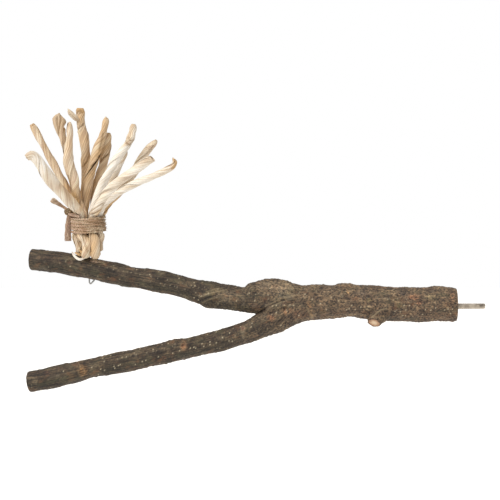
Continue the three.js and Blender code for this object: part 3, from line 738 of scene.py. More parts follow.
set_inputs(surface, {"Base Color": colour, "Roughness": 0.85, "Normal": saw_bump})

wood_mesh.materials.append(bark)
wood_mesh.materials.append(end_grain)
wood_mesh.set_sharp_from_angle(angle=math.radians(55))
branch = bpy.data.objects.new("branch", wood_mesh)
bpy.context.scene.collection.objects.link(branch)
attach(branch, "root")
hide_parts("trunk", "upper_prong", "lower_prong")

# The hanger bolt
# An M5 stud of zinc-plated steel with a rolled machine thread on its bare end. Its wood screw end is
# turned into a drilled hole in the thick end of the branch, so only the machine thread shows.

BOLT_EXPOSED = 23.5
BOLT_HIDDEN = 3
THREAD_PITCH = 0.8
THREAD_CREST = 2.45
THREAD_ROOT = 2.02
CHAMFER = 0.7
BOLT_SIDES = 40

# One turn of the thread, from root to root: share of the pitch and share of the thread's depth.
THREAD_SHAPE = [(0.0, 0.0), (0.12, 0.0), (0.44, 1.0), (0.56, 1.0), (0.88, 0.0)]
turns = int((BOLT_EXPOSED + BOLT_HIDDEN) / THREAD_PITCH) + 2
rings = []
for turn_count in range(-1, turns):
    for share, depth in THREAD_SHAPE:
        rings.append(((turn_count + share) * THREAD_PITCH - BOLT_HIDDEN, depth))
angle = 2 * math.pi * np.arange(BOLT_SIDES + 1) / BOLT_SIDES
along = np.array([ring[0] for ring in rings])[:, None] + THREAD_PITCH * angle / (2 * math.pi)
along = np.clip(along, -BOLT_HIDDEN, BOLT_EXPOSED)
size = THREAD_ROOT + (THREAD_CREST - THREAD_ROOT) * np.array([ring[1] for ring in rings])[:, None]
size = np.minimum(size, THREAD_CREST - CHAMFER + (BOLT_EXPOSED - along))
thread = np.stack([along, size * np.sin(angle), size * np.cos(angle)], axis=-1)
rows, columns = thread.shape[:2]
vertices = np.vstack([thread.reshape(-1, 3), [(-BOLT_HIDDEN, 0, 0), (BOLT_EXPOSED, 0, 0)]])
faces = grid_faces(rows, columns, closed=False)
for spoke in range(columns - 1):
    faces.append((rows * columns, spoke, spoke + 1))
    faces.append((rows * columns + 1, (rows - 1) * columns + spoke + 1, (rows - 1) * columns + spoke))
bolt = new_piece("hanger_stud", vertices, faces)
shape = bmesh.new()
shape.from_mesh(bolt.data)
bmesh.ops.remove_doubles(shape, verts=shape.verts, dist=0.002 * MM)
bmesh.ops.recalc_face_normals(shape, faces=shape.faces)
shape.to_mesh(bolt.data)
shape.free()
bolt.data.set_sharp_from_angle(angle=math.radians(35))

# Zinc plating: bright grey metal gone slightly dull and warm, with faint stains of about 4 mm from
# handling and scratches of 0.4 mm.
zinc, tree, surface = new_material("zinc_plated_steel")
spot = add_node(tree, "TexCoord", output="Object")
handling = add_node(tree, "TexNoise", {"Vector": spot, "Scale": 240.0, "Detail": 5.0})
zinc_colour = add_node(tree, "ValToRGB", {"Fac": handling}, stops=[
    (0.3, "#a49b90"), (0.55, "#c9c1b5"), (0.75, "#ddd6cc")])
dullness = add_node(tree, "MapRange", {"Value": handling, "To Min": 0.28, "To Max": 0.5})
scratch = add_node(tree, "TexNoise", {"Vector": spot, "Scale": 2600.0, "Detail": 2.0})
scratch_bump = add_node(tree, "Bump", {"Height": scratch, "Distance": 0.03 * MM, "Strength": 0.5})
set_inputs(surface, {"Base Color": zinc_colour, "Metallic": 1.0, "Roughness": dullness,
                     "Normal": scratch_bump})
bolt.data.materials.append(zinc)
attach(bolt, "root")
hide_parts("hanger_bolt")

# The corn-husk strands
# Six dry husk leaves, each rolled lengthwise into a loose tube, twisted, and folded in half over the
# foot of the tuft, so that twelve ends stand up. Each end is torn, and a little pinched or spread.

TUFT = np.array([-299, 10, 39.2])
BARK_SLOPE = 0.19
FOLD_HEIGHT = 14
TIE_BASE = 20.5
TIE_TOP = 33.75
RADIUS_IN_TIE = 3.05
LEAF_THICKNESS = 0.28
LEAF_LAYER = 0.5
ROLL_OVALITY = 0.06
SPREAD_OF_FOLDS = 0.3
PINCH_LENGTH = 3.4
COLUMN_WIDTH = 0.28
ROW_LENGTH = 1.15
# The bend of a fold: how far across it and how far down, as shares of its half width.
FOLD_SHAPE = [(-0.85, 1.04), (0, 1), (0.85, 0.92)]
# Real veins lie about 0.7 mm apart. They are drawn at twice that, which is what shows.
VEIN_SPACING = 1.4
VEIN_HEIGHT = 0.07
LIFTED_EDGE = 0.15
DENTS = 0.13
FINE_DENTS = 0.07
TORN_TIP = 9
TORN_SLANT = 0.9
TORN_RAGGEDNESS = 0.16

# Each fold has its two legs side by side in the tie, one in front and one behind at [x, -y] and
# [x, y], and each leg goes its own way above it: [x, y, z, radius] from the tuft's foot. `bulb` is where
# the fold's ends lie below the tie and `radius` how thick it is, `shoulder` the x and the radius just
# under the tie, `drop` how far the fold hangs below the others, and `skew` how far its front leg lies
# towards +X of its middle. `width` is the flat leaf's, `twist` its turns to 100 mm and `phase` where its
# free edge starts. `tone` is how pale each leg is, above 0 bleached and below 0 tan, and `pinch` how far
# each tip narrows. `flap` leans the front tip's end over: forwards, to its left, to its right, and whole.
STRANDS = [
    dict(tie=(-4.2, 8.2), shoulder=(-4.9, 3.7), bulb=(-2.4, 9.8), radius=3.7, drop=1.3, skew=1.2,
         width=34, twist=2.3, phase=0.4, tone=(0.3, -0.6), pinch=(0.3, 0.3),
         front=[[-7.5, -12, 39.5, 3.9], [-14.5, -17, 47, 4.8], [-28, -26, 63.5, 5.1],
                [-37, -31, 77.8, 4.6], [-41, -33, 81.5, 4.2], [-44.7, -34, 79.6, 3.5]],
         back=[[-4.9, 10.7, 43, 3.6], [-4, 12.8, 56, 4], [-3.4, 15, 77, 4.3], [-5.4, 16.5, 98, 4.3],
               [-7.6, 17, 110, 3.9], [-8.2, 17, 115, 4.1], [-8.3, 17, 123, 4.1]]),
    dict(tie=(4.2, 8.2), shoulder=(4.4, 4.3), bulb=(5.8, 9.8), radius=4, drop=-0.2, skew=0.7,
         width=28, twist=2.2, phase=2.0, tone=(0.4, -0.6), pinch=(0.05, 0.3),
         front=[[7.5, -11.5, 38.5, 3.6], [13, -15, 47, 3.9], [20, -19, 55.5, 4],
                [34, -25, 66.2, 3.9], [48, -29, 75.2, 3.7], [54.3, -31, 79, 3.7]],
         back=[[3.8, 10.7, 43, 3.9], [4.8, 12.6, 56, 4.2], [8.9, 14, 69, 4], [12.4, 15, 89, 4.5],
               [14.3, 15, 102.5, 4.1]]),
    dict(tie=(-3.05, 3.35), shoulder=(-3, 3), bulb=(-3, 3.7), radius=3, drop=0, skew=0,
         width=22, twist=1.6, phase=-0.4, tone=(-0.35, -0.5), pinch=(0, 0.4), flap=(3, 2.7, 7, 1.6),
         front=[[-4.4, -2, 42, 2.1], [-7.4, 1, 48, 2.2], [-8.9, 3.6, 54, 2.3], [-11.4, 3.2, 63.5, 2.4],
                [-16, 2.4, 76.5, 2.4], [-18.4, 0.4, 89, 2.7], [-20.4, -2, 98, 3.4],
                [-22.4, -2.6, 106, 4.6], [-23.6, -3, 114, 5.4]],
         back=[[-2.6, 3.9, 42, 3.2], [-1.5, 4.2, 52, 3.6], [-0.5, 4.5, 62, 4.2], [6.3, 6, 87, 4.2],
               [11.4, 7.5, 101, 3.2], [12.6, 7.7, 106, 2.9], [14.3, 8, 115, 3.2]]),
    dict(tie=(3.05, 3.35), shoulder=(3, 3), bulb=(3, 3.7), radius=3, drop=0, skew=0,
         width=24, twist=2.2, phase=3.4, tone=(1.0, 0.1), pinch=(0.3, 0.2),
         front=[[4.6, -5, 41, 3.2], [7.2, -6, 48, 3.6], [11.5, -7, 58, 3.9], [22.8, -9, 78, 3.8],
                [33.2, -9, 93, 3.5], [35.2, -9, 97, 4], [36.6, -9, 102, 3.2], [38, -9, 107.5, 3.2]],
         back=[[7.8, 4, 42, 3.1], [12.8, 4.5, 51.5, 3.6], [18, 4, 62, 3.7], [26.4, 3, 80, 3.5],
               [30, 3, 88, 3.1]]),
    dict(tie=(-8.9, 3.35), shoulder=(-9.6, 3.5), bulb=(-7.9, 3.7), radius=2.8, drop=6.4, skew=0.4,
         width=34, twist=2.1, phase=2.2, tone=(-0.25, -0.35), pinch=(0.28, 0.08),
         front=[[-10.2, -4.2, 41, 3.1], [-10, -4.5, 50, 3.6], [-11.1, -5.1, 63.3, 4.5],
                [-13.7, -5.6, 71.5, 4.6], [-15.5, -6.2, 80, 4.7], [-15.4, -6.6, 88, 3.9],
                [-14.5, -7, 98, 3], [-14, -7, 109.5, 2.6]],
         back=[[-11.7, 4.6, 42, 3], [-15.3, 5.5, 51, 3.4], [-26.4, 5, 72, 3.4], [-39, 3, 95, 3.2],
               [-46, 2, 108.5, 3]]),
    dict(tie=(9.2, 3.35), shoulder=(10.1, 3.5), bulb=(8.7, 3.7), radius=3.5, drop=0.8, skew=0,
         width=25, twist=2.51, phase=0.9, tone=(0.6, -0.1), pinch=(0.4, 0.3),
         front=[[11, -3.9, 38.5, 3.1], [13.6, -4.2, 44, 3.1], [20.6, -4.4, 50.2, 3.3],
                [39, -5, 60.3, 3.3], [58, -5.8, 68.5, 3.1], [69, -6.2, 74, 2.9],
                [71.3, -6.5, 78, 2.5], [69.8, -6.7, 80.8, 1.8]],
         back=[[12, 4.2, 37.5, 2.9], [14.2, 5.5, 42, 2.9], [22.5, 6, 51, 3.2], [35.4, 5, 68, 3.7],
               [45.6, 4, 84.5, 4], [55, 3, 95.8, 2.7]]),
]


def leg(strand, fold_height, side, above):
    """One leg of a folded strand, from the fold to its tip: side is -1 in front and 1 behind."""
    (tie_x, tie_y), (bulb_x, bulb_y) = strand["tie"], strand["bulb"]
    shoulder_x, shoulder_radius = strand["shoulder"]
    return [[bulb_x - side * strand["skew"], side * bulb_y, fold_height + 1, strand["radius"]],
            [shoulder_x, side * (tie_y + bulb_y) / 2, TIE_BASE - 2.4, shoulder_radius],
            [tie_x, side * tie_y, TIE_BASE - 0.3, RADIUS_IN_TIE],
            [tie_x, side * tie_y, TIE_TOP + 0.5, RADIUS_IN_TIE], *above]


def folded_route(strand):
    """The stations of a strand from its front tip down round the fold and up to its back tip."""
    bulb_x, bulb_y = strand["bulb"]
    height = FOLD_HEIGHT - BARK_SLOPE * bulb_x - strand["drop"]
    bend = [[bulb_x - strand["skew"] * across, bulb_y * across, height - bulb_y * deep, strand["radius"]]
            for across, deep in FOLD_SHAPE]
    return (leg(strand, height, -1, strand["front"])[::-1] + bend
            + leg(strand, height, 1, strand["back"]))


def carried_frames(line):
    """Two directions square to a line at each of its points, turned as little as they can be."""
    along = directions(line)
    side = np.cross(along[0], (0.3, 1, 0.2))
    sides = []
    for direction in along:
        side = side - direction * (side @ direction)
        side /= np.linalg.norm(side)
        sides.append(side)
    sides = np.array(sides)
    return sides, np.cross(along, sides)


def wander(rng, across, along, cells_across, cells_along, closed=False):
    """Smooth random heights over a leaf, from waves of seeded size and phase. Closed ones repeat with
    each 1 of `across`."""
    total = np.zeros((len(along), across.shape[-1]))
    for _ in range(6):
        a, b = rng.normal(0, cells_across), rng.normal(0, cells_along)
        a = round(a) if closed else a
        total += np.sin(2 * math.pi * (a * across + b * along[:, None] / 100) + rng.uniform(0, 6.3))
    return total / 2.5


# Creases over the leaves' front, at their columns and rows in the front view: the strand's number, the
# marks along the crease, its width and its depth. One with a negative depth stands out as a pale hem.
# A crease with a positive depth is also painted dark brown, as painted shade in the fold.
CREASES = [
    (1, [(76.5, 131), (79, 128.5), (83, 124.5)], 0.7, 0.9),
    (1, [(76.5, 133), (78, 131.5), (80.5, 129)], 0.9, -0.6),
    (1, [(81.5, 167.5), (84, 165.5), (87, 162)], 0.6, 0.6),
    (1, [(76.5, 114), (78, 111.5), (80.5, 110.5), (82, 112.5), (79.5, 113.5)], 0.7, 0.8),
    (3, [(60.5, 114), (60.8, 120), (59.5, 129)], 0.6, 0.7),
    (3, [(57, 118), (57.2, 125), (58.8, 134)], 0.6, 0.7),
    (5, [(66.5, 121), (66, 130), (65, 140), (62.5, 153)], 0.6, 0.5),
    (5, [(68, 176), (70.5, 187), (74, 197)], 0.7, 0.6),
    (5, [(75, 196.5), (78.5, 198.5), (82, 196.5)], 0.6, 0.8),
    (3, [(91, 166.5), (95, 163), (98.5, 159.5), (99.5, 156)], 0.6, 0.8),
    (2, [(98.3, 164), (101, 160), (104.5, 157), (109, 154)], 0.7, 0.9),
    (3, [(103, 134), (101.5, 142), (99.5, 150)], 0.6, 0.5),
    (4, [(125, 141), (128.5, 145), (132.5, 143.5), (134, 139.5)], 0.8, 0.7),
    (4, [(128, 137), (131, 141.5)], 0.6, 0.5),
    (6, [(132, 165.4), (140, 158.5), (147.3, 153.2), (153.5, 145.5)], 0.45, 0.6),
    (2, [(103, 205), (113, 196), (126, 187), (133, 184)], 0.6, 0.5),
    (5, [(77.5, 241.5), (79.5, 246), (80.8, 249.5)], 0.5, 0.5),
    (1, [(82.5, 234), (83.5, 240), (86, 247), (87, 252)], 0.5, 0.4),
    (1, [(86.5, 233), (85, 238)], 0.5, 0.4),
    (2, [(88, 234), (88.5, 240), (91, 246), (91.5, 252)], 0.6, 0.6),
    (2, [(91, 211), (97, 207), (103, 203)], 0.5, 0.5),
    (2, [(92, 214.5), (98, 211.5), (104, 208)], 0.5, 0.5),
    (6, [(97.5, 235), (98.5, 239), (100.5, 242), (100, 250)], 0.6, 0.6),
]

# Places where a leaf is paler (above 0) or browner (below 0), laid out in the same way. The browner marks
# just above the tie, on strands 1, 2, 5 and 6, are painted shade where the strands crowd.
TINTS = [
    (1, [(62, 186), (74, 198), (87, 212)], 4.5, -0.75), (1, [(36, 158), (48, 170), (58, 182)], 2.5, 0.4),
    (1, [(78, 109), (83, 110)], 2.4, -0.6), (1, [(80, 118), (81, 123)], 2, -0.3),
    (4, [(133, 124), (130, 134), (128, 142)], 3.6, -1.15),
    (4, [(108, 178), (120, 158), (126, 148)], 1.6, 0.3),
    (6, [(174, 159), (176, 164), (173, 168)], 1.8, -1.6), (3, [(104, 140), (98, 160)], 3, -0.2),
    (2, [(98, 215), (108, 207), (118, 199)], 3.5, -0.8),
    (6, [(106, 212), (112, 204), (122, 197)], 3, -0.4), (5, [(74, 196), (80, 205), (84, 213)], 3, -0.5),
    (5, [(74, 236), (77, 250)], 2, 0.4), (1, [(81, 236), (84, 244)], 1.6, 0.6),
    (2, [(93, 235), (92, 252)], 3, -0.3), (21, [(72, 254), (77, 259), (82, 260), (89, 258)], 9, 1.7),
    (22, [(77, 255), (84, 256)], 9, -0.8), (23, [(80, 253), (82, 258)], 9, -0.8),
]


def strokes_on_leaf(strokes, number, skin):
    """The strokes that lie on the leaf of that number: 1 on each and 0 beyond it, and its strength."""
    nearer = VIEW_DISTANCE / (VIEW_DISTANCE + skin[..., 1:2])
    seen = VIEW_CENTRE + (skin[..., ::2] - VIEW_CENTRE) * nearer
    for leaf_number, marks, width, strength in strokes:
        if leaf_number == number:
            yield stroke(seen, [picture_place(*mark) for mark in marks], width), strength


def leaf_faces(rows, columns):
    """The faces of a leaf: its outer skin, its inner skin and the thin edges that close them."""
    count = rows * columns
    outer = np.array(grid_faces(rows, columns, closed=False))
    row_starts, end_columns = np.arange(rows - 1) * columns, np.arange(columns - 1)
    edges = []
    for first, step, flip in ((row_starts, columns, False), (row_starts + columns - 1, columns, True),
                              (end_columns, 1, True), (end_columns + count - columns, 1, False)):
        quads = np.stack([first, first + step, first + step + count, first + count], axis=1)
        edges.append(quads[:, ::-1] if flip else quads)
    return np.vstack([outer, outer[:, ::-1] + count, *edges]).tolist()


def rolled_leaf(stations, leaf, number):
    """A husk leaf rolled round the line of its stations, with the values that its material reads at each
    point. Its number is its seed too, and the one by which its creases and tints find it."""
    width, twist, phase = leaf["width"], leaf["twist"], leaf["phase"]
    draw = np.random.default_rng(number)
    line, radii, lengths = smooth_line(stations, ROW_LENGTH)
    line = line + TUFT
    side, front = carried_frames(line)
    along = directions(line)
    pinch = np.ones(len(lengths))
    for share, from_tip in zip(leaf["pinch"], (lengths, lengths[-1] - lengths)):
        pinch -= share * np.clip(1 - from_tip / PINCH_LENGTH, 0, 1) ** 2

    # The leaf's width winds in from its free edge, each turn one layer further inside.
    across = np.linspace(0, 1, max(10, round(width / COLUMN_WIDTH)))
    turns = width / (2 * math.pi * (radii - LEAF_LAYER))
    turn = turns[:, None] * across
    twisted = phase + 2 * math.pi * twist * lengths / 100
    angle = twisted[:, None] + 2 * math.pi * turn
    free_edge = np.exp(-turn / 0.09)
    oval = ROLL_OVALITY * radii[:, None] * np.cos(2 * (angle - twisted[:, None] * 0.8))
    veins = np.sin(2 * math.pi * across * width / VEIN_SPACING)
    dents = DENTS * wander(draw, turn, lengths, 1.8, 2.2, True) * radii[:, None] / 3.5
    size = ((radii * pinch)[:, None] - LEAF_THICKNESS - LEAF_LAYER * turn + LIFTED_EDGE * free_edge
            + VEIN_HEIGHT * veins + oval + dents + FINE_DENTS * wander(draw, turn, lengths, 5, 7, True))
    size = np.maximum(size, 0.15)
    spoke = side[:, None] * np.cos(angle)[..., None] + front[:, None] * np.sin(angle)[..., None]

    # Both tips are torn: slanting, ragged, and with a flap that leans over where the leaf has one.
    torn = (TORN_SLANT * np.cos(2 * math.pi * (across - draw.uniform()))
            + TORN_RAGGEDNESS * wander(draw, across, lengths[:1], 5, 1)[0])
    tip = min(TORN_TIP, lengths[-1] / 2)
    ending = fade(lengths, lengths[-1] - tip, lengths[-1]) - fade(lengths, tip, 0)
    slide = ending[:, None] * torn
    if "flap" in leaf:
        forwards, left, right, whole = leaf["flap"]
        off_peak = spoke[..., 0] - 0.3
        lean = whole - forwards * spoke[..., 1] - np.where(off_peak < 0, -left, right) * off_peak
        slide -= fade(lengths, 16, 0)[:, None] * lean
    line = line[:, None] + along[:, None] * slide[..., None]
    skin = line + spoke * size[..., None]
    # Each crease is painted darker as well, as painted shade in the fold.
    crease_shade = np.zeros(size.shape)
    for creased, depth in strokes_on_leaf(CREASES, number, skin):
        creased = creased * fade(-spoke[..., 1], -0.2, 0.3)
        size = size - depth * creased
        crease_shade = np.maximum(crease_shade, creased * (depth > 0))

    # Painted shade: the folds under the tie are tan, and so are the feet of the darker legs above it, where
    # the strands crowd together.
    height = line[..., 2] - TUFT[2]
    low = fade(height, 74, 42) * fade(height, 24, 34)
    tone = np.where(lengths < lengths[-1] / 2, *leaf["tone"])[:, None] * fade(height, 20, 40)
    tone = tone - 0.5 * fade(height, 30, 18)
    tone = tone - 0.4 * low * (tone < 0.3) + 0.18 * wander(draw, across, lengths, 1.2, 2.5)
    for tinted, change in strokes_on_leaf(TINTS, number, skin):
        tone = tone + change * tinted

    skins = []
    for offset in (LEAF_THICKNESS / 2, -LEAF_THICKNESS / 2):
        reach = spoke * (size + offset)[..., None]
        inwards = reach[..., 0] * (line[..., 0] - TUFT[0]) < 0
        reach[..., 0] *= 1 + SPREAD_OF_FOLDS * inwards * fade(height, 19, 11)
        skins.append((line + reach).reshape(-1, 3))
    on_leaf = np.stack(np.broadcast_arrays(across * width, lengths[:, None], number * 40.0), axis=-1)
    from_tip = np.repeat(np.minimum(lengths, lengths[-1] - lengths), len(across))
    # The inner skin is painted browner, as painted shade inside the roll.
    return {
        "points": np.vstack(skins), "faces": leaf_faces(*size.shape),
        "leaf": np.tile(on_leaf.reshape(-1, 3), (2, 1)), "from_tip": np.tile(from_tip, 2),
        "tone": np.concatenate([tone.ravel(), tone.ravel() - 0.35]), "crease_shade": np.tile(crease_shade.ravel(), 2),
    }


def husk_piece(name, node, leaves):
    """One piece of husk from its leaves, standing in for a node of the solids."""
    made = new_piece(name, *join_shells([(leaf["points"], leaf["faces"]) for leaf in leaves]), husk)
    for value in ("leaf", "from_tip", "tone", "crease_shade"):
        store(made.data, value, np.concatenate([leaf[value] for leaf in leaves]))
    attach(made, "root")
    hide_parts(node)


# Dry corn husk: a papery leaf, straw coloured and matt, with raised veins along it, bleached in places and
# browner towards its torn ends. Painted shade darkens its creases, the inner skin of each roll, the folds
# under the tie and the feet of the strands above it.
husk, tree, surface = new_material("dry_corn_husk")
leaf_place = add_node(tree, "Attribute", output="Vector", attribute_name="leaf")
tone_and_shade_here, from_tip, crease_shade_share = [
    add_node(tree, "Attribute", output="Fac", attribute_name=name)
    for name in ("tone", "from_tip", "crease_shade")]
# Veins and patches: how wide and long each is in millimetres, and how fine and rough its pattern.
patterns = []
for wide, long, detail, roughness in ((0.8, 30, 3, 0.6), (9, 22, 4, 0.55)):
    stretched = add_node(tree, "Mapping", {"Vector": leaf_place, "Scale": (1 / wide, 1 / long, 1)})
    patterns.append(add_node(tree, "TexNoise", {
        "Vector": stretched, "Scale": 1.0, "Detail": detail, "Roughness": roughness}))
veins, patches = patterns
straw = add_node(tree, "ValToRGB", {"Fac": patches}, stops=[
    (0.3, "#b4a088"), (0.42, "#c5b49f"), (0.52, "#d0c2b0"), (0.62, "#d9cebf"), (0.75, "#e3dbd0")])
vein_light = add_node(tree, "ValToRGB", {"Fac": veins}, stops=[
    (0.36, "#84786a"), (0.5, "#bcb9b4"), (0.62, "#eeece8")])
bleach_share = add_node(tree, "MapRange", {"Value": tone_and_shade_here, "To Max": 0.75})
tan_and_shade_share = add_node(tree, "MapRange", {"Value": tone_and_shade_here, "From Max": -1.0, "To Max": 0.85})
tip_share = add_node(tree, "MapRange", {
    "Value": from_tip, "From Max": 5.0, "To Min": 0.35, "To Max": 0.0})
crease_shade_cover = add_node(tree, "Math", {0: crease_shade_share, 1: 0.75}, operation="MULTIPLY")
colour = straw
for coat, share, blend in [
        (linear("#e7e3dc"), bleach_share, "MIX"), (linear("#b8935f"), tan_and_shade_share, "MIX"),
        (vein_light, 0.6, "OVERLAY"), (linear("#a8875c"), tip_share, "MIX"),
        (linear("#7d5f38"), crease_shade_cover, "MIX")]:
    colour = add_node(tree, "Mix", {0: share, 6: colour, 7: coat}, data_type="RGBA", blend_type=blend)
vein_bump = add_node(tree, "Bump", {"Height": veins, "Distance": 0.35 * MM, "Strength": 0.9})
set_inputs(surface, {"Base Color": colour, "Roughness": 0.75, "Normal": vein_bump})

# The torn end of the tallest strand, which has come away from the roll as a flap.
LOOSE_FLAP = dict(width=6, twist=0, phase=0.1, tone=(0.2, 0.2), pinch=(0.2, 0.5))
LOOSE_FLAP_ROUTE = [[-9.4, 14.2, 113.2, 2], [-12.2, 12.6, 115.6, 2.3], [-15.6, 11.6, 119, 2.3],
                    [-18, 11.2, 121.8, 2]]

for number, strand in enumerate(STRANDS, start=1):
    leaves = [rolled_leaf(folded_route(strand), strand, number)]
    if number == 1:
        leaves.append(rolled_leaf(LOOSE_FLAP_ROUTE, LOOSE_FLAP, 11))
    husk_piece(f"rolled_husk_{number}", f"husk_strand_{number}", leaves)

# The jute tie
# One length of two-ply jute twine, doubled, wound five times round the strands just above their folds
# and knotted at the left. Of its frayed ends one stands up and out, one hangs and one lies on the tie.

TIE_TURNS = 5
STEPS_IN_TURN = 24
TIE_RADIUS = 13.7
TIE_PITCH = 2.56
TWINES_APART = 1.15
PLY_RADIUS = 0.46
PLY_OFFSET = 0.34
PLY_TWIST_LENGTH = 4.2
KNOT = np.array([-15.4, -2.4, 37.5])


def jute_ply(line, strand_phase):
    """One of the two plies of a twine, wound round the twine's line."""
    side, front = carried_frames(line)
    lengths = np.concatenate([[0], np.cumsum(np.linalg.norm(np.diff(line, axis=0), axis=1))])
    turn = 2 * math.pi * lengths / PLY_TWIST_LENGTH + strand_phase
    centre = line + PLY_OFFSET * (side * np.cos(turn)[:, None] + front * np.sin(turn)[:, None])
    lean = 0.05 * np.sin(lengths * 1.3 + strand_phase) + 0.04 * np.sin(lengths * 3.1)

    def fibres(_, degrees):
        return 0.05 * np.sin(np.radians(degrees) * 3 - lengths[:, None] * 2.6)

    return tube(centre, PLY_RADIUS + lean, 8, (0.2, 0.1, 1), fibres)


# Each shell of the tie has a tone: up to 1 in the dark knot and below 0 in the reddish ends. In the winding
# it is about 0, with painted light and shade that make it paler at the left and darker at the right.
twine_shells, tones = [], []


def add_twine(shell, tone):
    """Adds one ply, fibre or hair to the tie, with its tone."""
    twine_shells.append(shell)
    tones.append(np.zeros(len(shell[0])) + tone)


windings = []
for run, start in enumerate((0.0, 0.9)):
    winding = []
    for step in range(TIE_TURNS * STEPS_IN_TURN + 1):
        turn = step / STEPS_IN_TURN
        angle = math.pi + 2 * math.pi * turn
        slack = 0.3 * math.sin(3.1 * angle + 1 + start) + 0.2 * math.sin(1.7 * angle + 2 * start)
        drift = 0.26 * math.sin(0.83 * angle + 0.6 + start) + 0.16 * math.sin(2.3 * angle + 3 * start)
        sag = ((0.9 + 1.5 * turn / TIE_TURNS) * max(0, -math.sin(angle)) ** 1.5
               - 0.25 * math.cos(angle) - 0.9)
        reach = TIE_RADIUS + slack
        winding.append([reach * math.cos(angle), reach * math.sin(angle),
                        TIE_BASE + 0.15 + TIE_PITCH * turn + drift - sag + TWINES_APART * (run - 0.5), 1])
    winding += [[-14.4, -1.2, 35.2 + run * 0.8, 1], [*KNOT, 1]]
    wound, _, _ = smooth_line(winding, 0.5)
    windings.append(wound)
    for phase in (0, math.pi):
        ply = jute_ply(wound + TUFT, phase + start)
        offset = ply[0] - TUFT
        # The winding's tone rises from left to right: painted light at the left, painted shade at the right.
        add_twine(ply, 0.022 * offset[:, 0] - 0.05 + 0.3 * np.sin(2.2 * offset[:, 2] + 0.25 * offset[:, 0])
                  + 0.15 * np.sin(5 * offset[:, 2] - 0.6 * offset[:, 0] + run))

# The knot: loops of the twine drawn tight about each other, at [radius, heading, tilt].
KNOT_LOOPS = [
    (2.4, 0.2, 0.9), (2.6, 1.3, 0.3), (2.4, 2.2, 1.2), (2.9, 2.9, 0.6), (2, 0.8, 1.5), (1.5, 1.9, 0.1),
    (1, 0.5, 0.4), (2.7, 0.6, 2.2),
]
loop_turn = np.linspace(0, 2 * math.pi, 50)[:, None]
for size, heading, tilt in KNOT_LOOPS:
    u = np.array([math.cos(heading), math.sin(heading) * math.sin(tilt), math.sin(heading) * math.cos(tilt)])
    v = np.cross(u, (math.sin(tilt), math.cos(heading), 0.3))
    v /= np.linalg.norm(v)
    loop = size * (np.cos(loop_turn) * u * 1.15 + np.sin(loop_turn) * v)
    for phase in (0, math.pi):
        add_twine(jute_ply(loop + KNOT + TUFT, phase), rng.uniform(0, 1.1))

# The twine's ends, come apart into brushes of fibre: each one's tone and stations. A real fibre is
# about 0.05 mm thick, and is drawn 0.3 mm thick so that it shows.
TAILS = [
    (-0.3, [[-15, -2, 38, 1.1], [-19.2, -2.4, 40.8, 1.1], [-24, -3.4, 44, 1.8], [-28.4, -4, 46.8, 2.4],
            [-29.4, -4, 47.5, 2]]),
    (-0.5, [[-15, -2.2, 36.5, 1.3], [-15.6, -3.2, 31.5, 1.9], [-16, -3.8, 25, 2.5], [-16.1, -4, 19, 2.9],
            [-15.9, -4.2, 13.6, 3]]),
    (-0.6, [[-15.2, -3.8, 35.4, 1.1], [-12.4, -7, 34.9, 1.3], [-9, -11, 34.2, 1.2], [-5.5, -13.4, 33, 0.8]]),
]
FIBRE_RADIUS = 0.15
FIBRES_IN_TAIL = 170
for tone, stations in TAILS:
    line, radii, lengths = smooth_line(stations, 1.0)
    side, front = carried_frames(line)
    for _ in range(FIBRES_IN_TAIL):
        spread, around = math.sqrt(rng.uniform()), rng.uniform(0, 2 * math.pi)
        around = around + lengths / rng.uniform(7, 14)
        reach = radii * spread * (0.92 + 0.08 * np.sin(lengths * rng.uniform(0.3, 0.8)))
        path = line + side * (reach * np.cos(around))[:, None] + front * (reach * np.sin(around))[:, None]
        last = rng.integers(len(path) - 2, len(path) + 1)
        fibre = tube(path[:last] + TUFT, np.full(last, FIBRE_RADIUS), 4, (0.3, 0.2, 1))
        add_twine(fibre, tone + rng.uniform(-0.3, 0.3))

# Loose hairs that stand off the wound twine, drawn 0.1 mm thick and thinner at their tips.
LOOSE_HAIRS = 500
HAIR_RADIUS = 0.05
HAIR_TIP = 0.02
share = np.linspace(0, 1, 5)[:, None]
for hair in range(LOOSE_HAIRS):
    wound = windings[hair % 2]
    root = rng.integers(0, len(wound) - 8)
    out = np.array([wound[root][0], wound[root][1], 0]) / np.linalg.norm(wound[root][:2])
    heading = directions(wound[root:root + 3])[0] * rng.uniform(-1, 1) + out * rng.uniform(0.1, 0.6)
    heading = heading + np.array([0, 0, rng.uniform(-0.5, 0.5)])
    heading /= np.linalg.norm(heading)
    bow = rng.normal(0, 0.35, 3)
    path = wound[root] + out * 0.6 + heading * rng.uniform(1, 2.8) * share + bow * share**2
    add_twine(tube(path + TUFT, np.linspace(HAIR_RADIUS, HAIR_TIP, 5), 3, (0.3, 0.2, 1)), 0)

# Jute: a coarse bast fibre, matt and hairy, gold-brown and darker in the knot. Its fibres are too fine to
# show, so they are drawn as flecks of about 1.4 mm, and its aged patches are about 9 mm long. The dark coat
# and the pale reddish coat also carry the winding's painted shade at the right and painted light at the
# left.
jute, tree, surface = new_material("jute_twine")
spot = add_node(tree, "TexCoord", output="Object")
tone_and_shade_here = add_node(tree, "Attribute", output="Fac", attribute_name="tone")
fibre_tone = add_node(tree, "TexNoise", {"Vector": spot, "Scale": 700.0, "Detail": 4.0})
length_tone = add_node(tree, "TexNoise", {"Vector": spot, "Scale": 110.0, "Detail": 2.0})
fibre_colour = add_node(tree, "ValToRGB", {"Fac": fibre_tone}, stops=[
    (0.3, "#7d6750"), (0.48, "#b39c7f"), (0.66, "#dccbb2")])
aged_share = add_node(tree, "MapRange", {
    "Value": length_tone, "From Min": 0.42, "From Max": 0.62, "To Max": 0.75})
knot_and_shade_share = add_node(tree, "MapRange", {"Value": tone_and_shade_here, "To Max": 0.75})
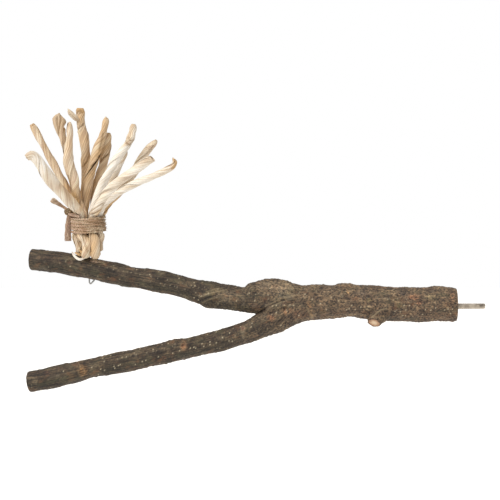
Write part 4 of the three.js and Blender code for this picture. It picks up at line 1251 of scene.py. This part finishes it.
red_and_lit_share = add_node(tree, "MapRange", {"Value": tone_and_shade_here, "From Max": -1.0, "To Max": 0.8})
colour = fibre_colour
for coat, share in (("#9a7858", aged_share), ("#5f5136", knot_and_shade_share), ("#c9ab9c", red_and_lit_share)):
    colour = add_node(tree, "Mix", {0: share, 6: colour, 7: linear(coat)}, data_type="RGBA")
fibre_bump = add_node(tree, "Bump", {"Height": fibre_tone, "Distance": 0.2 * MM, "Strength": 0.8})
set_inputs(surface, {"Base Color": colour, "Roughness": 0.92, "Normal": fibre_bump})

twine = new_piece("jute_twine", *join_shells(twine_shells), jute)
store(twine.data, "tone", np.concatenate(tones))
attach(twine, "root")
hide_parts("jute_tie")

# The wire
# One length of 1.2 mm galvanised wire. It passes through the folds of the strands, and both its legs
# go down through a hole in the prong to a small bent loop under the bark.

WIRE_RADIUS = 0.62
WIRE_ROUTE = [
    [-11.6, 0.2, 16], [-9, 0.1, 15.6], [-4, -0.2, 14.6], [-1.4, -0.5, 13.7], [-0.3, -0.7, 11.8],
    [-0.1, -0.7, 6], [0.4, -0.7, -8], [0.9, -0.7, -17], [1.1, -0.8, -20.2], [1.9, -0.8, -21.3],
    [3.4, -0.4, -20], [5.4, 0.2, -17], [2.8, 0.7, -8], [0.4, 0.7, 2], [0.1, 0.7, 8], [0.3, 0.7, 11],
    [1.4, 0.5, 12.8], [4, 0.2, 13.2], [9, 0, 12.4], [11.6, 0, 12],
]
line, radii, _ = smooth_line([[*point, WIRE_RADIUS] for point in WIRE_ROUTE], 0.5)

# Galvanised iron: dull grey metal with a faint mottle of crystals, each about 1 mm across.
galvanised, tree, surface = new_material("galvanised_wire")
spot = add_node(tree, "TexCoord", output="Object")
spangle = add_node(tree, "TexVoronoi", {"Vector": spot, "Scale": 900.0}, output="Distance")
wire_colour = add_node(tree, "ValToRGB", {"Fac": spangle}, stops=[(0.0, "#c4c4c2"), (0.6, "#989896")])
set_inputs(surface, {"Base Color": wire_colour, "Metallic": 1.0, "Roughness": 0.5})

wire = new_piece("wire_through_folds", *tube(line + TUFT, radii, 12, (0.1, -1, 0.05)), galvanised)
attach(wire, "root")
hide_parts("wire_pin")

# The husk shreds
# A thin torn strip of husk that has curled down over the front of the bark from the tuft's foot, with
# two brown scraps beside it.

SHREDS = [
    (dict(width=1.9, twist=0, phase=0, tone=(1.8, 1.8), pinch=(0.2, 0.3)),
     [[-12.8, -3, 3.9, 1], [-10.8, -6.4, 1.7, 1.1], [-7.8, -8.8, -0.8, 1.2], [-5.4, -9.2, -1.5, 1.2],
      [-3.4, -8.6, -0.7, 1.1], [-1.2, -7.8, 0.1, 1]]),
    (dict(width=2.6, twist=2, phase=0.2, tone=(-1, -1), pinch=(0.2, 0.4)),
     [[-9.6, -6.4, 4, 1.3], [-7.6, -7.2, 2.9, 1.5], [-5.6, -7.6, 2.3, 1.5], [-3.4, -7.4, 2.6, 1.1]]),
    (dict(width=2.6, twist=3, phase=5.2, tone=(-0.9, -0.9), pinch=(0.2, 0.4)),
     [[-6.6, -6.4, 6.4, 1.1], [-4.8, -7.6, 4, 1.3], [-3.4, -8.2, 1.8, 1.2]]),
]
husk_piece("husk_shred_curl", "husk_shred", [
    rolled_leaf(route, shred, seed) for seed, (shred, route) in enumerate(SHREDS, start=21)])
